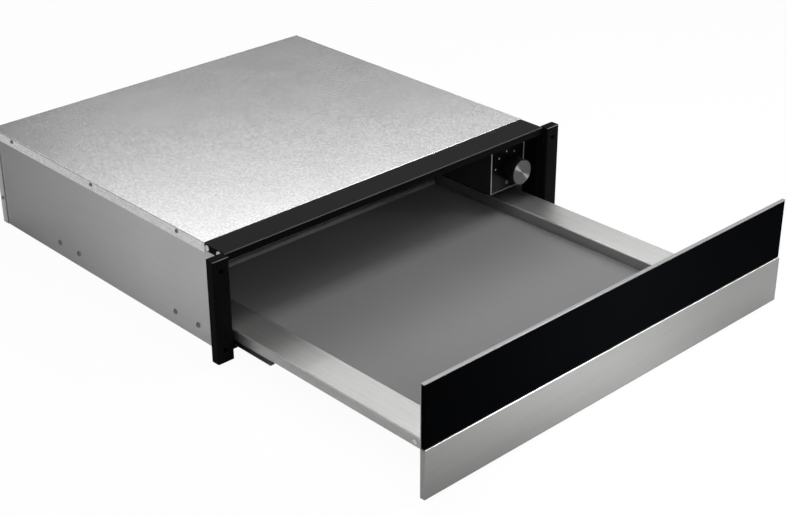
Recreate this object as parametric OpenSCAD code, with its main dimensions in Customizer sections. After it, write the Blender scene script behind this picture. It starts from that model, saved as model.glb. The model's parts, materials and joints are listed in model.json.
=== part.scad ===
// Built-in warming drawer, shown with its drawer pulled out to the stop.
// X points right seen from the front, Y to the back and Z up.
// The origin is the middle of the casing's underside. Lengths are in millimetres.

/* [Casing] */
// How far the front panel reaches past the casing at each side
side_reveal = 34.5; // [25:0.5:39]
// Depth from the back of the front frame to the back of the cover
casing_d = 495; // [485:1:520]
// Height of the casing
casing_h = 136; // [133:1:150]
// Thickness of the casing's sheet steel
sheet_t = 1; // [0.8:0.1:1.2]
// Height of the cover's folded edge
cover_lip = 13; // [9:0.5:18]
// Width of the back panel's edge that wraps round each side
back_wrap = 12; // [10:1:20]
// Height of the base plate's folded edge
base_lip = 11; // [6:1:13]
// How far the base plate's front edge stands behind the side panels' front
base_setback = 11; // [6:1:16]

/* [Front frame] */
// Width of each post
post_w = 23; // [20:1:28]
// Depth of each post
post_d = 13; // [10:1:18]
// Gap from the casing's side to the post, seen from the front
post_gap = 0.5; // [0:0.1:1]
// Height of the posts' lower ends above the casing's underside
post_lift = 4; // [0:0.5:8]
// Rounding of the posts' upright edges
post_round = 2; // [0.5:0.25:3]
// Wall of the hollow posts
post_wall = 2; // [1.5:0.1:3]
// Radius of the screw holes that fix the frame to the cabinet
fix_r = 2.25; // [1.5:0.05:3]
// Height between the two fixing holes of a post
fix_pitch = 100; // [80:1:105]
// How far the top bar's face stands behind the posts' face
bar_recess = 8; // [4:0.5:12]
// Visible depth of the top bar
bar_d = 37.7; // [30:0.1:45]
// Height of the top bar's face
bar_h = 10; // [6:0.5:14]
// Thickness of the top bar's sheet
bar_t = 1.2; // [0.8:0.1:2]
// Depth of the top bar that lies under the cover
bar_tuck = 10; // [6:1:16]
// Height of the bottom bar
sill_h = 5; // [3:0.25:6]
// Depth of the bottom bar
sill_d = 15; // [10:1:22]

/* [Drawer] */
// Distance from shut to fully open
drawer_travel = 338; // [300:1:345]
// Gap between the drawer's edge and the side panel
drawer_gap = 3.5; // [3:0.1:4.5]
// Thickness of the tray's stainless sheet
tray_t = 1; // [0.8:0.1:1.2]
// Width of the tray's side ledges
ledge_w = 45; // [42:0.5:60]
// Height of the ledges' top face
ledge_z = 37; // [35:0.5:40]
// Height of the ledges' turned-down edge
ledge_lip = 13; // [12:0.5:14.5]
// Depth of the tray from the ledge to its floor
tray_depth = 16.5; // [12:0.5:18]
// Height of the tray's low rear wall above its floor
rear_wall_h = 7; // [4:0.5:10]
// Gap between the shut tray and the back panel
rear_gap = 6.5; // [5:0.5:12]
// Thickness of the anti-slip mat
mat_t = 2; // [1:0.25:3]
// Gap all round the mat
mat_gap = 1.5; // [0.5:0.25:3]

/* [Front panel] */
// Width of the front panel, which sets the casing's width too
panel_w = 594; // [585:1:598]
// Height of the front panel
panel_h = 134; // [130:1:140]
// Height of the panel's lower edge above the casing's underside
panel_lift = 5; // [0:0.5:8]
// Gap between the shut panel and the frame
panel_gap = 1.5; // [1:0.1:3]
// Height of the steel strip
steel_h = 59; // [45:0.5:75]
// How far the steel strip stands proud of the glass
steel_proud = 1.5; // [0.5:0.1:3]
// Thickness of the glass
glass_t = 4; // [3:0.25:5]
// Thickness of the panel's steel sheets
panel_t = 1; // [0.8:0.1:1.2]
// Gap round the glass
glass_gap = 0.3; // [0.2:0.05:0.6]
// How far the glass stands in from the panel's sides
glass_inset = 1; // [0.5:0.1:2]
// Thickness of the brackets that carry the panel
bracket_t = 1.2; // [1:0.1:1.2]
// Height of the brackets above the panel's lower edge
bracket_h = 105; // [80:1:120]
// Length of the brackets' arms along the ledges
arm_l = 56; // [50:1:60]
// Distance of the arm's screw from the panel
arm_screw_y = 48.5; // [44:0.5:52]
// Radius of the rubber buffers behind the panel
buffer_r = 5; // [3:0.5:7]
// Distance of the buffers from the panel's sides
buffer_inset = 22.5; // [14:0.5:30]

/* [Runners] */
// Height of the runners' lower edge
rail_z = 7; // [6.5:0.25:7.5]
// Thickness of the runners' sheet
rail_t = 1; // [0.8:0.1:1]
// Diameter of the balls
ball_d = 2.5; // [2.3:0.1:2.6]
// Height of the middle rail's lower guide
guide_h = 8; // [7:0.25:8.5]
// Gap between the fixed rail and the drawer rail above it
stack_gap = 0.5; // [0.4:0.1:0.6]
// Gap between the drawer's turned-down edge and the fixed rail
rail_gap = 0.5; // [0.4:0.1:1]
// Gap between the fixed rail and the casing's back
rail_back_gap = 43.5; // [38:0.5:50]
// Length of the fixed rail
fixed_rail_l = 409; // [390:1:415]
// Length of the middle rail
middle_rail_l = 340; // [310:1:345]
// Length of the drawer rail
drawer_rail_l = 450; // [430:1:455]
// Length of a ball cage
cage_l = 120; // [80:1:130]
// Balls in each row of a cage
cage_balls = 6; // [3:1:8]
// Radius of the studs that carry the fixed rail
stud_r = 3.6; // [3:0.1:3.8]

/* [Control] */
// Width of the control facia
facia_w = 63; // [56:1:70]
// Thickness of the control facia
facia_t = 2; // [1.5:0.1:3]
// How far the facia stands behind the posts' face
facia_recess = 37.5; // [35:0.5:45]
// Height of the control box's underside
control_z = 48; // [44:0.5:52]
// Depth of the control box behind the facia
control_d = 141; // [80:1:160]
// Width of the light line round the facia
trim_w = 1.6; // [0.8:0.1:2.5]
// Thickness of the light line round the facia
trim_t = 0.6; // [0.3:0.1:1]
// Distance of the knob's axis from the side panel
knob_side = 32; // [30:0.5:36]
// Height of the knob's axis above the control box's underside
knob_rise = 32; // [28:0.5:40]
// Radius of the knob's front
knob_r = 17.5; // [14:0.25:20]
// Radius of the knob's metal cap
knob_cap_r = 16.6; // [13:0.1:17]
// How far the knob stands out of the facia
knob_reach = 27; // [20:0.5:30]
// Radius of the thermostat's shaft
knob_shaft_r = 3; // [2:0.1:4]
// Side of the square thermostat body
thermostat_w = 34; // [28:1:36]
// Depth of the thermostat body
thermostat_d = 26; // [20:1:32]

/* [Heating] */
// Width of the heater housing
heater_w = 240; // [200:2:260]
// Depth of the heater housing in front of the back panel
heater_d = 55; // [52:1:60]
// Height of the heater housing's underside
heater_z = 44; // [42:0.5:46]
// Gap between the heater housing and the cover
heater_top_gap = 7; // [5:0.5:9]
// Gap between the heating element and its housing
element_gap = 1; // [0.5:0.1:2]
// Radius of the element's tube
element_tube_r = 3; // [2.5:0.1:3.2]
// Gap between the fan's impeller and the heating element
fan_gap = 3; // [2:0.5:8]
// Depth of the fan's impeller
fan_d = 18; // [12:0.5:20]
// Number of blades
fan_blades = 14; // [8:1:20]
// Radius of the fan's shaft
fan_shaft_r = 2; // [1.5:0.1:3]
// Width of the fan motor
motor_w = 48; // [40:1:52]
// Height of the fan motor
motor_h = 40; // [34:1:44]
// Depth of the fan motor
motor_d = 20; // [16:1:21]

/* [Rear] */
// Distance of the cable gland and terminal block from the middle, to the left
inlet_x = 175; // [140:1:190]
// Height of the cable gland's axis
inlet_z = 10; // [9.5:0.25:11]
// Radius of the gland's bore
gland_bore_r = 4; // [3:0.25:4.5]
// Radius of the gland's collar
gland_r = 8.5; // [7:0.25:9]
// How far the gland stands out of the back
gland_reach = 9; // [6:0.5:14]
// Number of air slots on each side of the back panel
vent_count = 9; // [4:1:10]
// Pitch of the air slots
vent_pitch = 9; // [7:0.5:10]
// Radius of the push latch's plunger
plunger_r = 3.5; // [2.5:0.1:4]
// Distance that the plunger travels
plunger_travel = 5; // [3:0.5:6]

/* [Screws] */
// Radius of the small screws' heads
screw_head_r = 2.6; // [2:0.1:3]
// Height of the small screws' heads
screw_head_h = 1.6; // [1:0.1:2]
// Radius of the small screws' shanks
screw_r = 1.5; // [1:0.1:1.8]
// Radius of the runner screws' heads
rail_screw_head_r = 3.6; // [3:0.1:4.5]
// Height of the runner screws' heads
rail_screw_head_h = 2; // [1.5:0.1:2.5]

/* [Hidden] */
$fn = 48;

// Overrun of every cut
cut = 1;
// Play of a turning or sliding shaft, on the radius
play = 0.05;
// Gap between sheets that don't touch
seam = 0.3;

// Faces of the casing
casing_w = panel_w - 2 * side_reveal;
side_out = casing_w / 2 - sheet_t;
side_in = side_out - sheet_t;
y_front = -casing_d / 2;
y_back = casing_d / 2;
back_out = y_back - sheet_t;
back_in = back_out - sheet_t;
cover_under = casing_h - sheet_t;
frame_front = y_front - post_d;
base_front = y_front + base_setback;
bar_front = frame_front + bar_recess;
bar_back = bar_front + bar_d;
bar_under = cover_under - bar_t;

// Posts
post_x0 = casing_w / 2 + post_gap;
post_x1 = post_x0 + post_w;
post_mid = (post_x0 + post_x1) / 2;
post_z1 = cover_under;
fix_mid = (post_lift + post_z1) / 2;
flange_margin = 2;

// Top bar's ends and their screws
bar_end_h = 9;
bar_end_y0 = y_front + sheet_t + seam;
bar_end_y1 = bar_back - seam;
bar_screw_inset = 5;
bar_screw_z = cover_under - bar_end_h / 2;

// Screws along the cover, as shares of its depth behind the top bar
cover_screw_shares = [0.114, 0.495, 0.891];
back_cover_screw_shares = [-0.8, 0, 0.8];
cover_screw_drop = 5;
screw_grip = 3;
wrap_screw_shares = [0.3, 0.8];
wrap_z1 = cover_under - cover_lip - seam;

// Drawer, open, in this frame
drawer_half = side_in - drawer_gap;
ledge_lip_in = drawer_half - tray_t;
ledge_in = drawer_half - ledge_w;
ledge_under = ledge_z - tray_t;
lip_z0 = ledge_z - ledge_lip;
floor_z1 = ledge_z - tray_depth;
floor_z0 = floor_z1 - tray_t;
panel_back = frame_front - panel_gap - drawer_travel;
tray_y0 = panel_back + bracket_t;
tray_y1 = back_in - rear_gap - drawer_travel;
backing_front = panel_back - panel_t;
glass_front_y = backing_front - glass_t;
steel_front_y = glass_front_y - steel_proud;
panel_z1 = panel_lift + panel_h;
steel_z1 = panel_lift + steel_h;
bracket_x0 = ledge_in + 2 * tray_t;
arm_x1 = ledge_lip_in - play;
arm_x0 = arm_x1 - bracket_t;
arm_z0 = lip_z0 + seam;
arm_z1 = ledge_under - play;
arm_screw_z = (arm_z0 + arm_z1) / 2 - 2 * seam;
bracket_screw_shares = [0.45, 0.85];
buffer_shares = [0.3, 0.67];

// Levels of the runners: o is the fixed rail, m the middle one and i the drawer's
o0 = rail_z;
o1 = o0 + rail_t;
m0 = o1 + ball_d;
m1 = m0 + guide_h;
o2 = m1 + ball_d;
o3 = o2 + rail_t;
i0 = o3 + stack_gap;
i1 = i0 + rail_t;
m2 = i1 + ball_d;
i3 = ledge_under;
i2 = i3 - rail_t;
m3 = i2 - ball_d;
// Places of the runners across the drawer
rail_x1 = ledge_lip_in - rail_gap;
rail_span = 11;
rail_x0 = rail_x1 - rail_span;
rail_mouth = 1.5;
guide_w = 6.5;
guide_x1 = rail_x0 + guide_w;
inner_x1 = rail_x1 - rail_t - 4 * seam;
leaf_w = 30;
ball_x = (rail_x0 + rail_t + guide_x1) / 2 + seam;
cage_t = 0.5;
// Places of the runners along the drawer
fixed_rail_y1 = y_back - rail_back_gap;
fixed_rail_y0 = fixed_rail_y1 - fixed_rail_l;
middle_shut_gap = 5.5;
middle_rail_y1 = fixed_rail_y1 - middle_shut_gap - drawer_travel / 2;
middle_rail_y0 = middle_rail_y1 - middle_rail_l;
drawer_rail_y0 = panel_back + 4 * tray_t;
drawer_rail_y1 = drawer_rail_y0 + drawer_rail_l;
lower_cage_y0 = fixed_rail_y0 + 5 * tray_t;
upper_cage_y0 = middle_rail_y0 + 20 * tray_t;
stud_z = o3 - stud_r + play;
stud_shares = [0.035, 0.144, 0.65, 0.757];
stud_ys = [for (s = stud_shares) fixed_rail_y0 + s * fixed_rail_l];

// Control
facia_y = frame_front + facia_recess;
facia_x1 = side_in - seam;
facia_x0 = facia_x1 - facia_w;
facia_z1 = bar_under - seam;
knob_x = side_in - knob_side;
knob_z = control_z + knob_rise;
knob_face = facia_y - knob_reach;
knob_back = facia_y - trim_t - seam;
knob_cap_t = 1;
knob_taper = 1.5;
knob_bore_l = knob_reach * 2 / 3;
pointer_w = 1.2;
pointer_depth = 0.3;
pointer_deg = 139;
control_y1 = facia_y + facia_t + control_d;
control_flange_w = 12;
shaft_hole_r = knob_shaft_r + facia_t / 2;
thermostat_y1 = facia_y + facia_t + thermostat_d;
shaft_tip_gap = 5;
shaft_y1 = thermostat_y1 - shaft_tip_gap;

// Heating
heater_y0 = back_in - heater_d;
heater_z1 = cover_under - heater_top_gap;
heater_h = heater_z1 - heater_z;
fan_z = heater_z + heater_h / 2;
element_r = heater_h / 2 - sheet_t - element_gap - element_tube_r;
fan_r = element_r - element_tube_r - fan_gap;
intake_r = fan_r;
grille_rim = 5;
grille_r = intake_r + grille_rim;
grille_slot = 3;
grille_pitch = 6;
outlet_count = 6;
outlet_w = 5;
outlet_margin = 8;
motor_y0 = back_in - motor_d;
fan_motor_gap = 4;
fan_y1 = motor_y0 - fan_motor_gap;
fan_y0 = fan_y1 - fan_d;
fan_plate_t = 1.2;
fan_hub_r = 7;
blade_t = 1;
blade_twist = 35;
element_y = (fan_y0 + fan_y1) / 2;
element_leg_deg = 20;
cutout_r = 8;
cutout_t = 6;
cutout_y_share = 0.5;

// Capillary tube and wiring, with their own places
capillary_r = 1;
bulb_r = 3;
bulb_l = 55;
tube_inset = 20;
tube_setback = 25;
tube_drop = 8;
tube_x = side_in - tube_inset;
tube_y = heater_y0 + tube_setback;
tube_z = heater_z1 - tube_drop;
wire_r = 2;
wire_inset = 14;
wire_drop = 1.5;
wire_x = side_in - wire_inset;
wire_y = back_in - wire_r - seam;
wire_z = cover_under - wire_r - wire_drop;

// Latch
latch_w = 28;
latch_h = 15;
latch_z = 10;
latch_back_gap = 2;
latch_y1 = back_in - latch_back_gap;
latch_l = 30;
latch_y0 = latch_y1 - latch_l;
plunger_out = 12;
plunger_tail = 25;
striker_gap = 0.5;
striker_foot = 20;
striker_w = 24;
striker_y1 = latch_y0 - plunger_out - striker_gap - drawer_travel;

// Rear fittings
block_w = 50;
block_d = 20;
block_h = 15;
block_back_gap = 16;
block_y1 = back_in - block_back_gap;
gland_wall = 2;
gland_nut_t = 4;
gland_in = 10;
vent_l = 40;
vent_w = 3;
vent_edge = 20;
vent_z = 70;

// A box between two corners
module span(a, b) {
    translate(a) cube(b - a);
}

// Draws a right-hand piece on the right or, mirrored, on the left
module at_side(side) {
    if (side < 0) mirror([1, 0, 0]) children();
    else children();
}

// A rod along X, Y or Z
module rod_x(x0, x1, y, z, r) {
    translate([x0, y, z]) rotate([0, 90, 0]) cylinder(h = x1 - x0, r = r);
}
module rod_y(x, y0, y1, z, r) {
    translate([x, y0, z]) rotate([-90, 0, 0]) cylinder(h = y1 - y0, r = r);
}
module rod_z(x, y, z0, z1, r) {
    translate([x, y, z0]) cylinder(h = z1 - z0, r = r);
}

// A pan-head screw whose head sits on x and whose shank points to -X
module screw_x(x, y, z, head_r, head_h, shank_l) {
    translate([x, y, z]) rotate([0, 90, 0]) {
        pan_head(head_r, head_h);
        translate([0, 0, -shank_l]) cylinder(h = shank_l, r = screw_r);
    }
}

// The same screw along Y, with its head on the +Y or the -Y side
module screw_y(x, y, z, head_r, head_h, shank_l, towards) {
    translate([x, y, z]) rotate([towards > 0 ? -90 : 90, 0, 0]) {
        pan_head(head_r, head_h);
        translate([0, 0, -shank_l]) cylinder(h = shank_l, r = screw_r);
    }
}

// A domed head with a cross recess
module pan_head(head_r, head_h) {
    slot_share = 0.22;
    difference() {
        intersection() {
            cylinder(h = head_h, r = head_r);
            dome_r = (head_r * head_r + head_h * head_h) / (2 * head_h) * 1.15;
            translate([0, 0, head_h - dome_r]) sphere(r = dome_r);
        }
        for (a = [0, 90]) rotate(a)
            translate([-head_r * 0.6, -head_r * slot_share / 2, head_h / 2])
                cube([head_r * 1.2, head_r * slot_share, head_h]);
    }
}

// An upright block with rounded edges
module rounded_column(a, b, r) {
    translate([0, 0, a[2]]) linear_extrude(b[2] - a[2]) {
        translate([a[0] + r, a[1]]) square([b[0] - a[0] - 2 * r, b[1] - a[1]]);
        translate([a[0], a[1] + r]) square([b[0] - a[0], b[1] - a[1] - 2 * r]);
        for (x = [a[0] + r, b[0] - r], y = [a[1] + r, b[1] - r])
            translate([x, y]) circle(r = r);
    }
}

function cover_screw_y(s) = bar_back + s * (y_back - bar_back);
function wrap_screw_z(s) = s * wrap_z1;

// Casing

module base_plate() {
    color("gainsboro") {
        span([-side_in, base_front, 0], [side_in, back_in, sheet_t]);
        for (side = [-1, 1]) at_side(side)
            span([side_in - sheet_t, base_front, sheet_t], [side_in, back_in, base_lip]);
    }
}

module side_panel(side) {
    notch_y = bar_back + bar_tuck + seam;
    color("silver") at_side(side) difference() {
        union() {
            span([side_in, y_front, 0], [side_out, notch_y, bar_under]);
            span([side_in, notch_y, 0], [side_out, back_in, cover_under]);
            span([side_out, y_front, post_lift + flange_margin],
                 [post_x1 - flange_margin, y_front + sheet_t, post_z1 - flange_margin]);
        }
        for (y = stud_ys) rod_x(side_in - cut, side_out + cut, y, stud_z, screw_r + play);
        for (s = cover_screw_shares)
            rod_x(side_in - cut, side_out + cut, cover_screw_y(s),
                  casing_h - cover_screw_drop, screw_r + play);
        for (y = [bar_end_y0 + bar_screw_inset, bar_end_y1 - bar_screw_inset])
            rod_x(side_in - cut, side_out + cut, y, bar_screw_z, screw_r + play);
        for (s = wrap_screw_shares)
            rod_x(side_in - cut, side_out + cut, back_out - back_wrap / 2,
                  wrap_screw_z(s), screw_r + play);
        for (dz = [-1, 1])
            rod_y(post_mid, y_front - cut, y_front + sheet_t + cut,
                  fix_mid + dz * fix_pitch / 2, fix_r + 1);
    }
}

module back_panel() {
    color("silver") difference() {
        union() {
            span([-side_out - sheet_t, back_in, 0], [side_out + sheet_t, back_out, wrap_z1]);
            span([-side_out, back_in, wrap_z1], [side_out, back_out, cover_under]);
            for (side = [-1, 1]) at_side(side)
                span([side_out, back_out - back_wrap, 0], [side_out + sheet_t, back_in, wrap_z1]);
        }
        for (side = [-1, 1]) at_side(side) {
            for (s = wrap_screw_shares)
                rod_x(side_out - cut, side_out + sheet_t + cut, back_out - back_wrap / 2,
                      wrap_screw_z(s), screw_r + play);
            for (n = [0 : vent_count - 1])
                translate([side_in - vent_edge - n * vent_pitch, back_in - cut, vent_z - vent_l / 2])
                    cube([vent_w, sheet_t + 2 * cut, vent_l]);
        }
        for (s = back_cover_screw_shares)
            rod_y(s * side_in, back_in - cut, back_out + cut, casing_h - cover_screw_drop,
                  screw_r + play);
        rod_y(-inlet_x, back_in - cut, back_out + cut, inlet_z, gland_bore_r + gland_wall);
    }
}

module top_cover() {
    color("whitesmoke") difference() {
        union() {
            span([-side_out - sheet_t, bar_back, cover_under],
                 [side_out + sheet_t, y_back, casing_h]);
            for (side = [-1, 1]) at_side(side)
                span([side_out, bar_back, casing_h - cover_lip],
                     [side_out + sheet_t, y_back, cover_under]);
            span([-side_out, back_out, casing_h - cover_lip], [side_out, y_back, cover_under]);
        }
        for (side = [-1, 1], s = cover_screw_shares) at_side(side)
            rod_x(side_out - cut, side_out + sheet_t + cut, cover_screw_y(s),
                  casing_h - cover_screw_drop, screw_r + play);
        for (s = back_cover_screw_shares)
            rod_y(s * side_in, back_out - cut, y_back + cut, casing_h - cover_screw_drop,
                  screw_r + play);
    }
}

module cover_screws() {
    color("dimgray") {
        for (side = [-1, 1], s = cover_screw_shares) at_side(side)
            screw_x(side_out + sheet_t, cover_screw_y(s), casing_h - cover_screw_drop,
                    screw_head_r, screw_head_h, screw_grip);
        for (s = back_cover_screw_shares)
            screw_y(s * side_in, y_back, casing_h - cover_screw_drop,
                    screw_head_r, screw_head_h, 2 * sheet_t, 1);
    }
}

module back_screws() {
    color("dimgray") for (side = [-1, 1], s = wrap_screw_shares) at_side(side)
        screw_x(side_out + sheet_t, back_out - back_wrap / 2, wrap_screw_z(s),
                screw_head_r, screw_head_h, screw_grip);
}

// Front frame

module frame_top_bar() {
    half = casing_w / 2;
    color("black") difference() {
        union() {
            span([-half, bar_front, bar_under], [half, bar_back + bar_tuck, cover_under]);
            span([-half, bar_front, cover_under - bar_h], [half, bar_front + bar_t, bar_under]);
            for (side = [-1, 1]) at_side(side)
                span([side_out, bar_end_y0, cover_under - bar_end_h],
                     [half, bar_end_y1, bar_under]);
        }
        for (side = [-1, 1]) at_side(side) {
            for (y = [bar_end_y0 + bar_screw_inset, bar_end_y1 - bar_screw_inset])
                rod_x(side_out - cut, half + cut, y, bar_screw_z, screw_r + play);
            span([side_out - seam, bar_back, bar_under - cut],
                 [half + cut, bar_back + bar_tuck + cut, cover_under + cut]);
        }
    }
}

module top_bar_screws() {
    color("white") for (side = [-1, 1]) at_side(side)
        for (y = [bar_end_y0 + bar_screw_inset, bar_end_y1 - bar_screw_inset])
            screw_x(casing_w / 2, y, bar_screw_z, rail_screw_head_r, rail_screw_head_h,
                    2 * sheet_t);
}

module frame_post(side) {
    boss_r = fix_r + post_wall;
    color("black") at_side(side) difference() {
        rounded_column([post_x0, frame_front, post_lift], [post_x1, y_front, post_z1], post_round);
        difference() {
            span([post_x0 + post_wall, frame_front + post_wall, post_lift + post_wall],
                 [post_x1 - post_wall, y_front + cut, post_z1 - post_wall]);
            for (dz = [-1, 1])
                rod_y(post_mid, frame_front, y_front, fix_mid + dz * fix_pitch / 2, boss_r);
        }
        for (dz = [-1, 1])
            rod_y(post_mid, frame_front - cut, y_front + cut,
                  fix_mid + dz * fix_pitch / 2, fix_r);
    }
}

module frame_bottom_bar() {
    half = side_in - 2 * sheet_t;
    color("black") {
        span([-half, base_front - sheet_t, 0], [half, base_front, sill_h]);
        span([-half, base_front, sill_h - sheet_t], [half, base_front + sill_d, sill_h]);
        span([-half, base_front + sill_d - sheet_t, sheet_t],
             [half, base_front + sill_d, sill_h - sheet_t]);
    }
}

// Control

module control_box() {
    y0 = facia_y + facia_t;
    hang_y0 = bar_back + bar_tuck + 4 * seam;
    color("black") difference() {
        union() {
            span([facia_x0, y0, control_z], [side_in, control_y1, control_z + sheet_t]);
            span([facia_x0, y0, control_z + sheet_t],
                 [facia_x0 + sheet_t, control_y1, facia_z1]);
            span([facia_x0 + sheet_t, control_y1 - sheet_t, control_z + sheet_t],
                 [side_in, control_y1, facia_z1]);
            span([facia_x0, hang_y0, facia_z1],
                 [facia_x0 + sheet_t, control_y1, cover_under - sheet_t]);
            span([facia_x0, hang_y0, cover_under - sheet_t],
                 [facia_x0 + control_flange_w, control_y1, cover_under]);
        }
        rod_y(tube_x, control_y1 - sheet_t - cut, control_y1 + cut, tube_z, capillary_r + seam);
    }
}

module control_facia() {
    color("black") difference() {
        span([facia_x0, facia_y, control_z], [facia_x1, facia_y + facia_t, facia_z1]);
        rod_y(knob_x, facia_y - cut, facia_y + facia_t + cut, knob_z, shaft_hole_r);
    }
}

module facia_trim() {
    color("gray") difference() {
        span([facia_x0, facia_y - trim_t, control_z], [facia_x1, facia_y, facia_z1]);
        span([facia_x0 + trim_w, facia_y - trim_t - cut, control_z + trim_w],
             [facia_x1 - trim_w, facia_y + cut, facia_z1 - trim_w]);
    }
}

module thermostat_body() {
    half = thermostat_w / 2;
    y0 = facia_y + facia_t;
    tab_l = 6;
    tab_w = 4;
    tab_t = 0.8;
    color("ivory") difference() {
        union() {
            span([knob_x - half, y0, knob_z - half], [knob_x + half, thermostat_y1, knob_z + half]);
            for (s = [-0.5, 0.5])
                span([knob_x + s * half - tab_w / 2, thermostat_y1, knob_z - tab_t],
                     [knob_x + s * half + tab_w / 2, thermostat_y1 + tab_l, knob_z]);
        }
        rod_y(knob_x, y0 - cut, shaft_y1 + seam, knob_z, knob_shaft_r + play);
    }
}

module capillary_tube() {
    start = [knob_x, thermostat_y1, knob_z + thermostat_w / 4];
    back = start + [0, 10 * capillary_r, 0];
    rise = [tube_x, back[1], tube_z];
    low = [tube_x, back[1], back[2]];
    far = [tube_x, tube_y, tube_z];
    bulb_x1 = heater_w / 2 - sheet_t - seam;
    color("peru") {
        rod_y(start[0], start[1], back[1], start[2], capillary_r);
        translate(back) sphere(r = capillary_r);
        rod_x(back[0], low[0], back[1], back[2], capillary_r);
        translate(low) sphere(r = capillary_r);
        rod_z(low[0], low[1], low[2], rise[2], capillary_r);
        translate(rise) sphere(r = capillary_r);
        rod_y(rise[0], rise[1], far[1], rise[2], capillary_r);
        translate(far) sphere(r = capillary_r);
        rod_x(bulb_x1, far[0], far[1], far[2], capillary_r);
        rod_x(bulb_x1 - bulb_l, bulb_x1, far[1], far[2], bulb_r);
    }
}

module knob_body() {
    depth = knob_back - knob_face;
    color("black") difference() {
        translate([knob_x, knob_face, knob_z]) rotate([-90, 0, 0]) rotate_extrude()
            polygon([[0, 0], [knob_r, 0], [knob_r, depth / 3],
                     [knob_r - knob_taper, depth], [0, depth]]);
        rod_y(knob_x, knob_face - cut, knob_face + knob_cap_t, knob_z, knob_cap_r + play);
        rod_y(knob_x, knob_back - knob_bore_l, knob_back + cut, knob_z, knob_shaft_r);
    }
}

module knob_cap() {
    color("silver") difference() {
        rod_y(knob_x, knob_face, knob_face + knob_cap_t, knob_z, knob_cap_r);
        translate([knob_x, knob_face, knob_z]) rotate([0, -pointer_deg, 0])
            translate([knob_cap_r / 3, -cut, -pointer_w / 2])
                cube([knob_cap_r * 0.6, cut + pointer_depth, pointer_w]);
    }
}

module knob_shaft() {
    color("lightgray")
        rod_y(knob_x, knob_back - knob_bore_l, shaft_y1, knob_z, knob_shaft_r);
}

// Heating

module heater_housing() {
    half = heater_w / 2;
    color("lightgray") difference() {
        span([-half, heater_y0, heater_z], [half, back_in, heater_z1]);
        span([-half + sheet_t, heater_y0 + sheet_t, heater_z + sheet_t],
             [half - sheet_t, back_in + cut, heater_z1 - sheet_t]);
        rod_y(0, heater_y0 - cut, heater_y0 + sheet_t + cut, fan_z, intake_r);
        slot_step = (heater_h - 2 * outlet_margin) / outlet_count;
        for (side = [-1, 1], n = [0 : outlet_count - 1]) at_side(side)
            translate([half * 0.55, heater_y0 - cut, heater_z + outlet_margin + n * slot_step])
                cube([half * 0.35, sheet_t + 2 * cut, outlet_w]);
        rod_x(half - sheet_t - cut, half + cut, tube_y, tube_z, capillary_r + seam);
    }
}

module heater_grille() {
    rows = floor((intake_r - grille_slot) / grille_pitch);
    color("gray") difference() {
        rod_y(0, heater_y0 - sheet_t, heater_y0, fan_z, grille_r);
        for (n = [-rows : rows]) {
            reach = sqrt(intake_r * intake_r - pow(n * grille_pitch, 2)) - grille_slot;
            for (side = [-1, 1]) at_side(side)
                translate([grille_slot / 2, heater_y0 - sheet_t - cut,
                           fan_z + n * grille_pitch - grille_slot / 2])
                    cube([reach, sheet_t + 2 * cut, grille_slot]);
        }
    }
}

module heating_element() {
    leg_r = element_tube_r * 0.8;
    leg_z = fan_z - element_r * cos(element_leg_deg);
    color("dimgray") {
        translate([0, element_y, fan_z]) rotate([90, 0, 0]) rotate_extrude()
            translate([element_r, 0]) circle(r = element_tube_r);
        for (s = [-1, 1])
            rod_y(s * element_r * sin(element_leg_deg), element_y, back_in, leg_z, leg_r);
    }
}

module fan_motor() {
    half = motor_w / 2;
    coil_w = motor_w / 3;
    color("darkslategray") difference() {
        union() {
            span([-half, motor_y0, fan_z - motor_h / 2], [half, back_in, fan_z + motor_h / 2]);
            rod_x(half, half + coil_w / 2, (motor_y0 + back_in) / 2, fan_z, motor_d / 3);
        }
        rod_y(0, motor_y0 - cut, back_in + cut, fan_z, fan_shaft_r + play);
    }
}

module fan_shaft() {
    color("lightgray") rod_y(0, fan_y0, back_in - sheet_t, fan_z, fan_shaft_r);
}

module fan_impeller() {
    blade_w = fan_r - fan_hub_r;
    color("silver") difference() {
        union() {
            rod_y(0, fan_y1 - fan_plate_t, fan_y1, fan_z, fan_r);
            rod_y(0, fan_y0, fan_y1, fan_z, fan_hub_r);
            intersection() {
                rod_y(0, fan_y0, fan_y1, fan_z, fan_r);
                for (n = [0 : fan_blades - 1])
                    translate([0, 0, fan_z]) rotate([0, n * 360 / fan_blades, 0])
                        translate([fan_hub_r - blade_t, fan_y0, 0]) rotate([0, blade_twist, 0])
                            cube([blade_w * 1.2, fan_d, blade_t]);
            }
        }
        rod_y(0, fan_y0 - cut, fan_y1 + cut, fan_z, fan_shaft_r);
    }
}

module thermal_cutout() {
    half = heater_w / 2;
    y = heater_y0 + cutout_y_share * heater_d;
    color("beige") {
        rod_x(half, half + cutout_t, y, fan_z, cutout_r);
        for (s = [-0.5, 0.5])
            span([half + cutout_t, y + s * cutout_r - sheet_t, fan_z],
                 [half + 2 * cutout_t, y + s * cutout_r + sheet_t, fan_z + sheet_t]);
    }
}

// Rear fittings

module terminal_block() {
    ways = 3;
    pitch = block_w / ways;
    color("ivory") difference() {
        span([-inlet_x - block_w / 2, block_y1 - block_d, sheet_t],
             [-inlet_x + block_w / 2, block_y1, sheet_t + block_h]);
        for (n = [0 : ways - 1]) {
            x = -inlet_x - block_w / 2 + (n + 0.5) * pitch;
            rod_y(x, block_y1 - block_d / 3, block_y1 + cut, inlet_z, pitch / 5);
            rod_z(x, block_y1 - block_d / 2, inlet_z, sheet_t + block_h + cut, pitch / 4);
        }
    }
}

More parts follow.
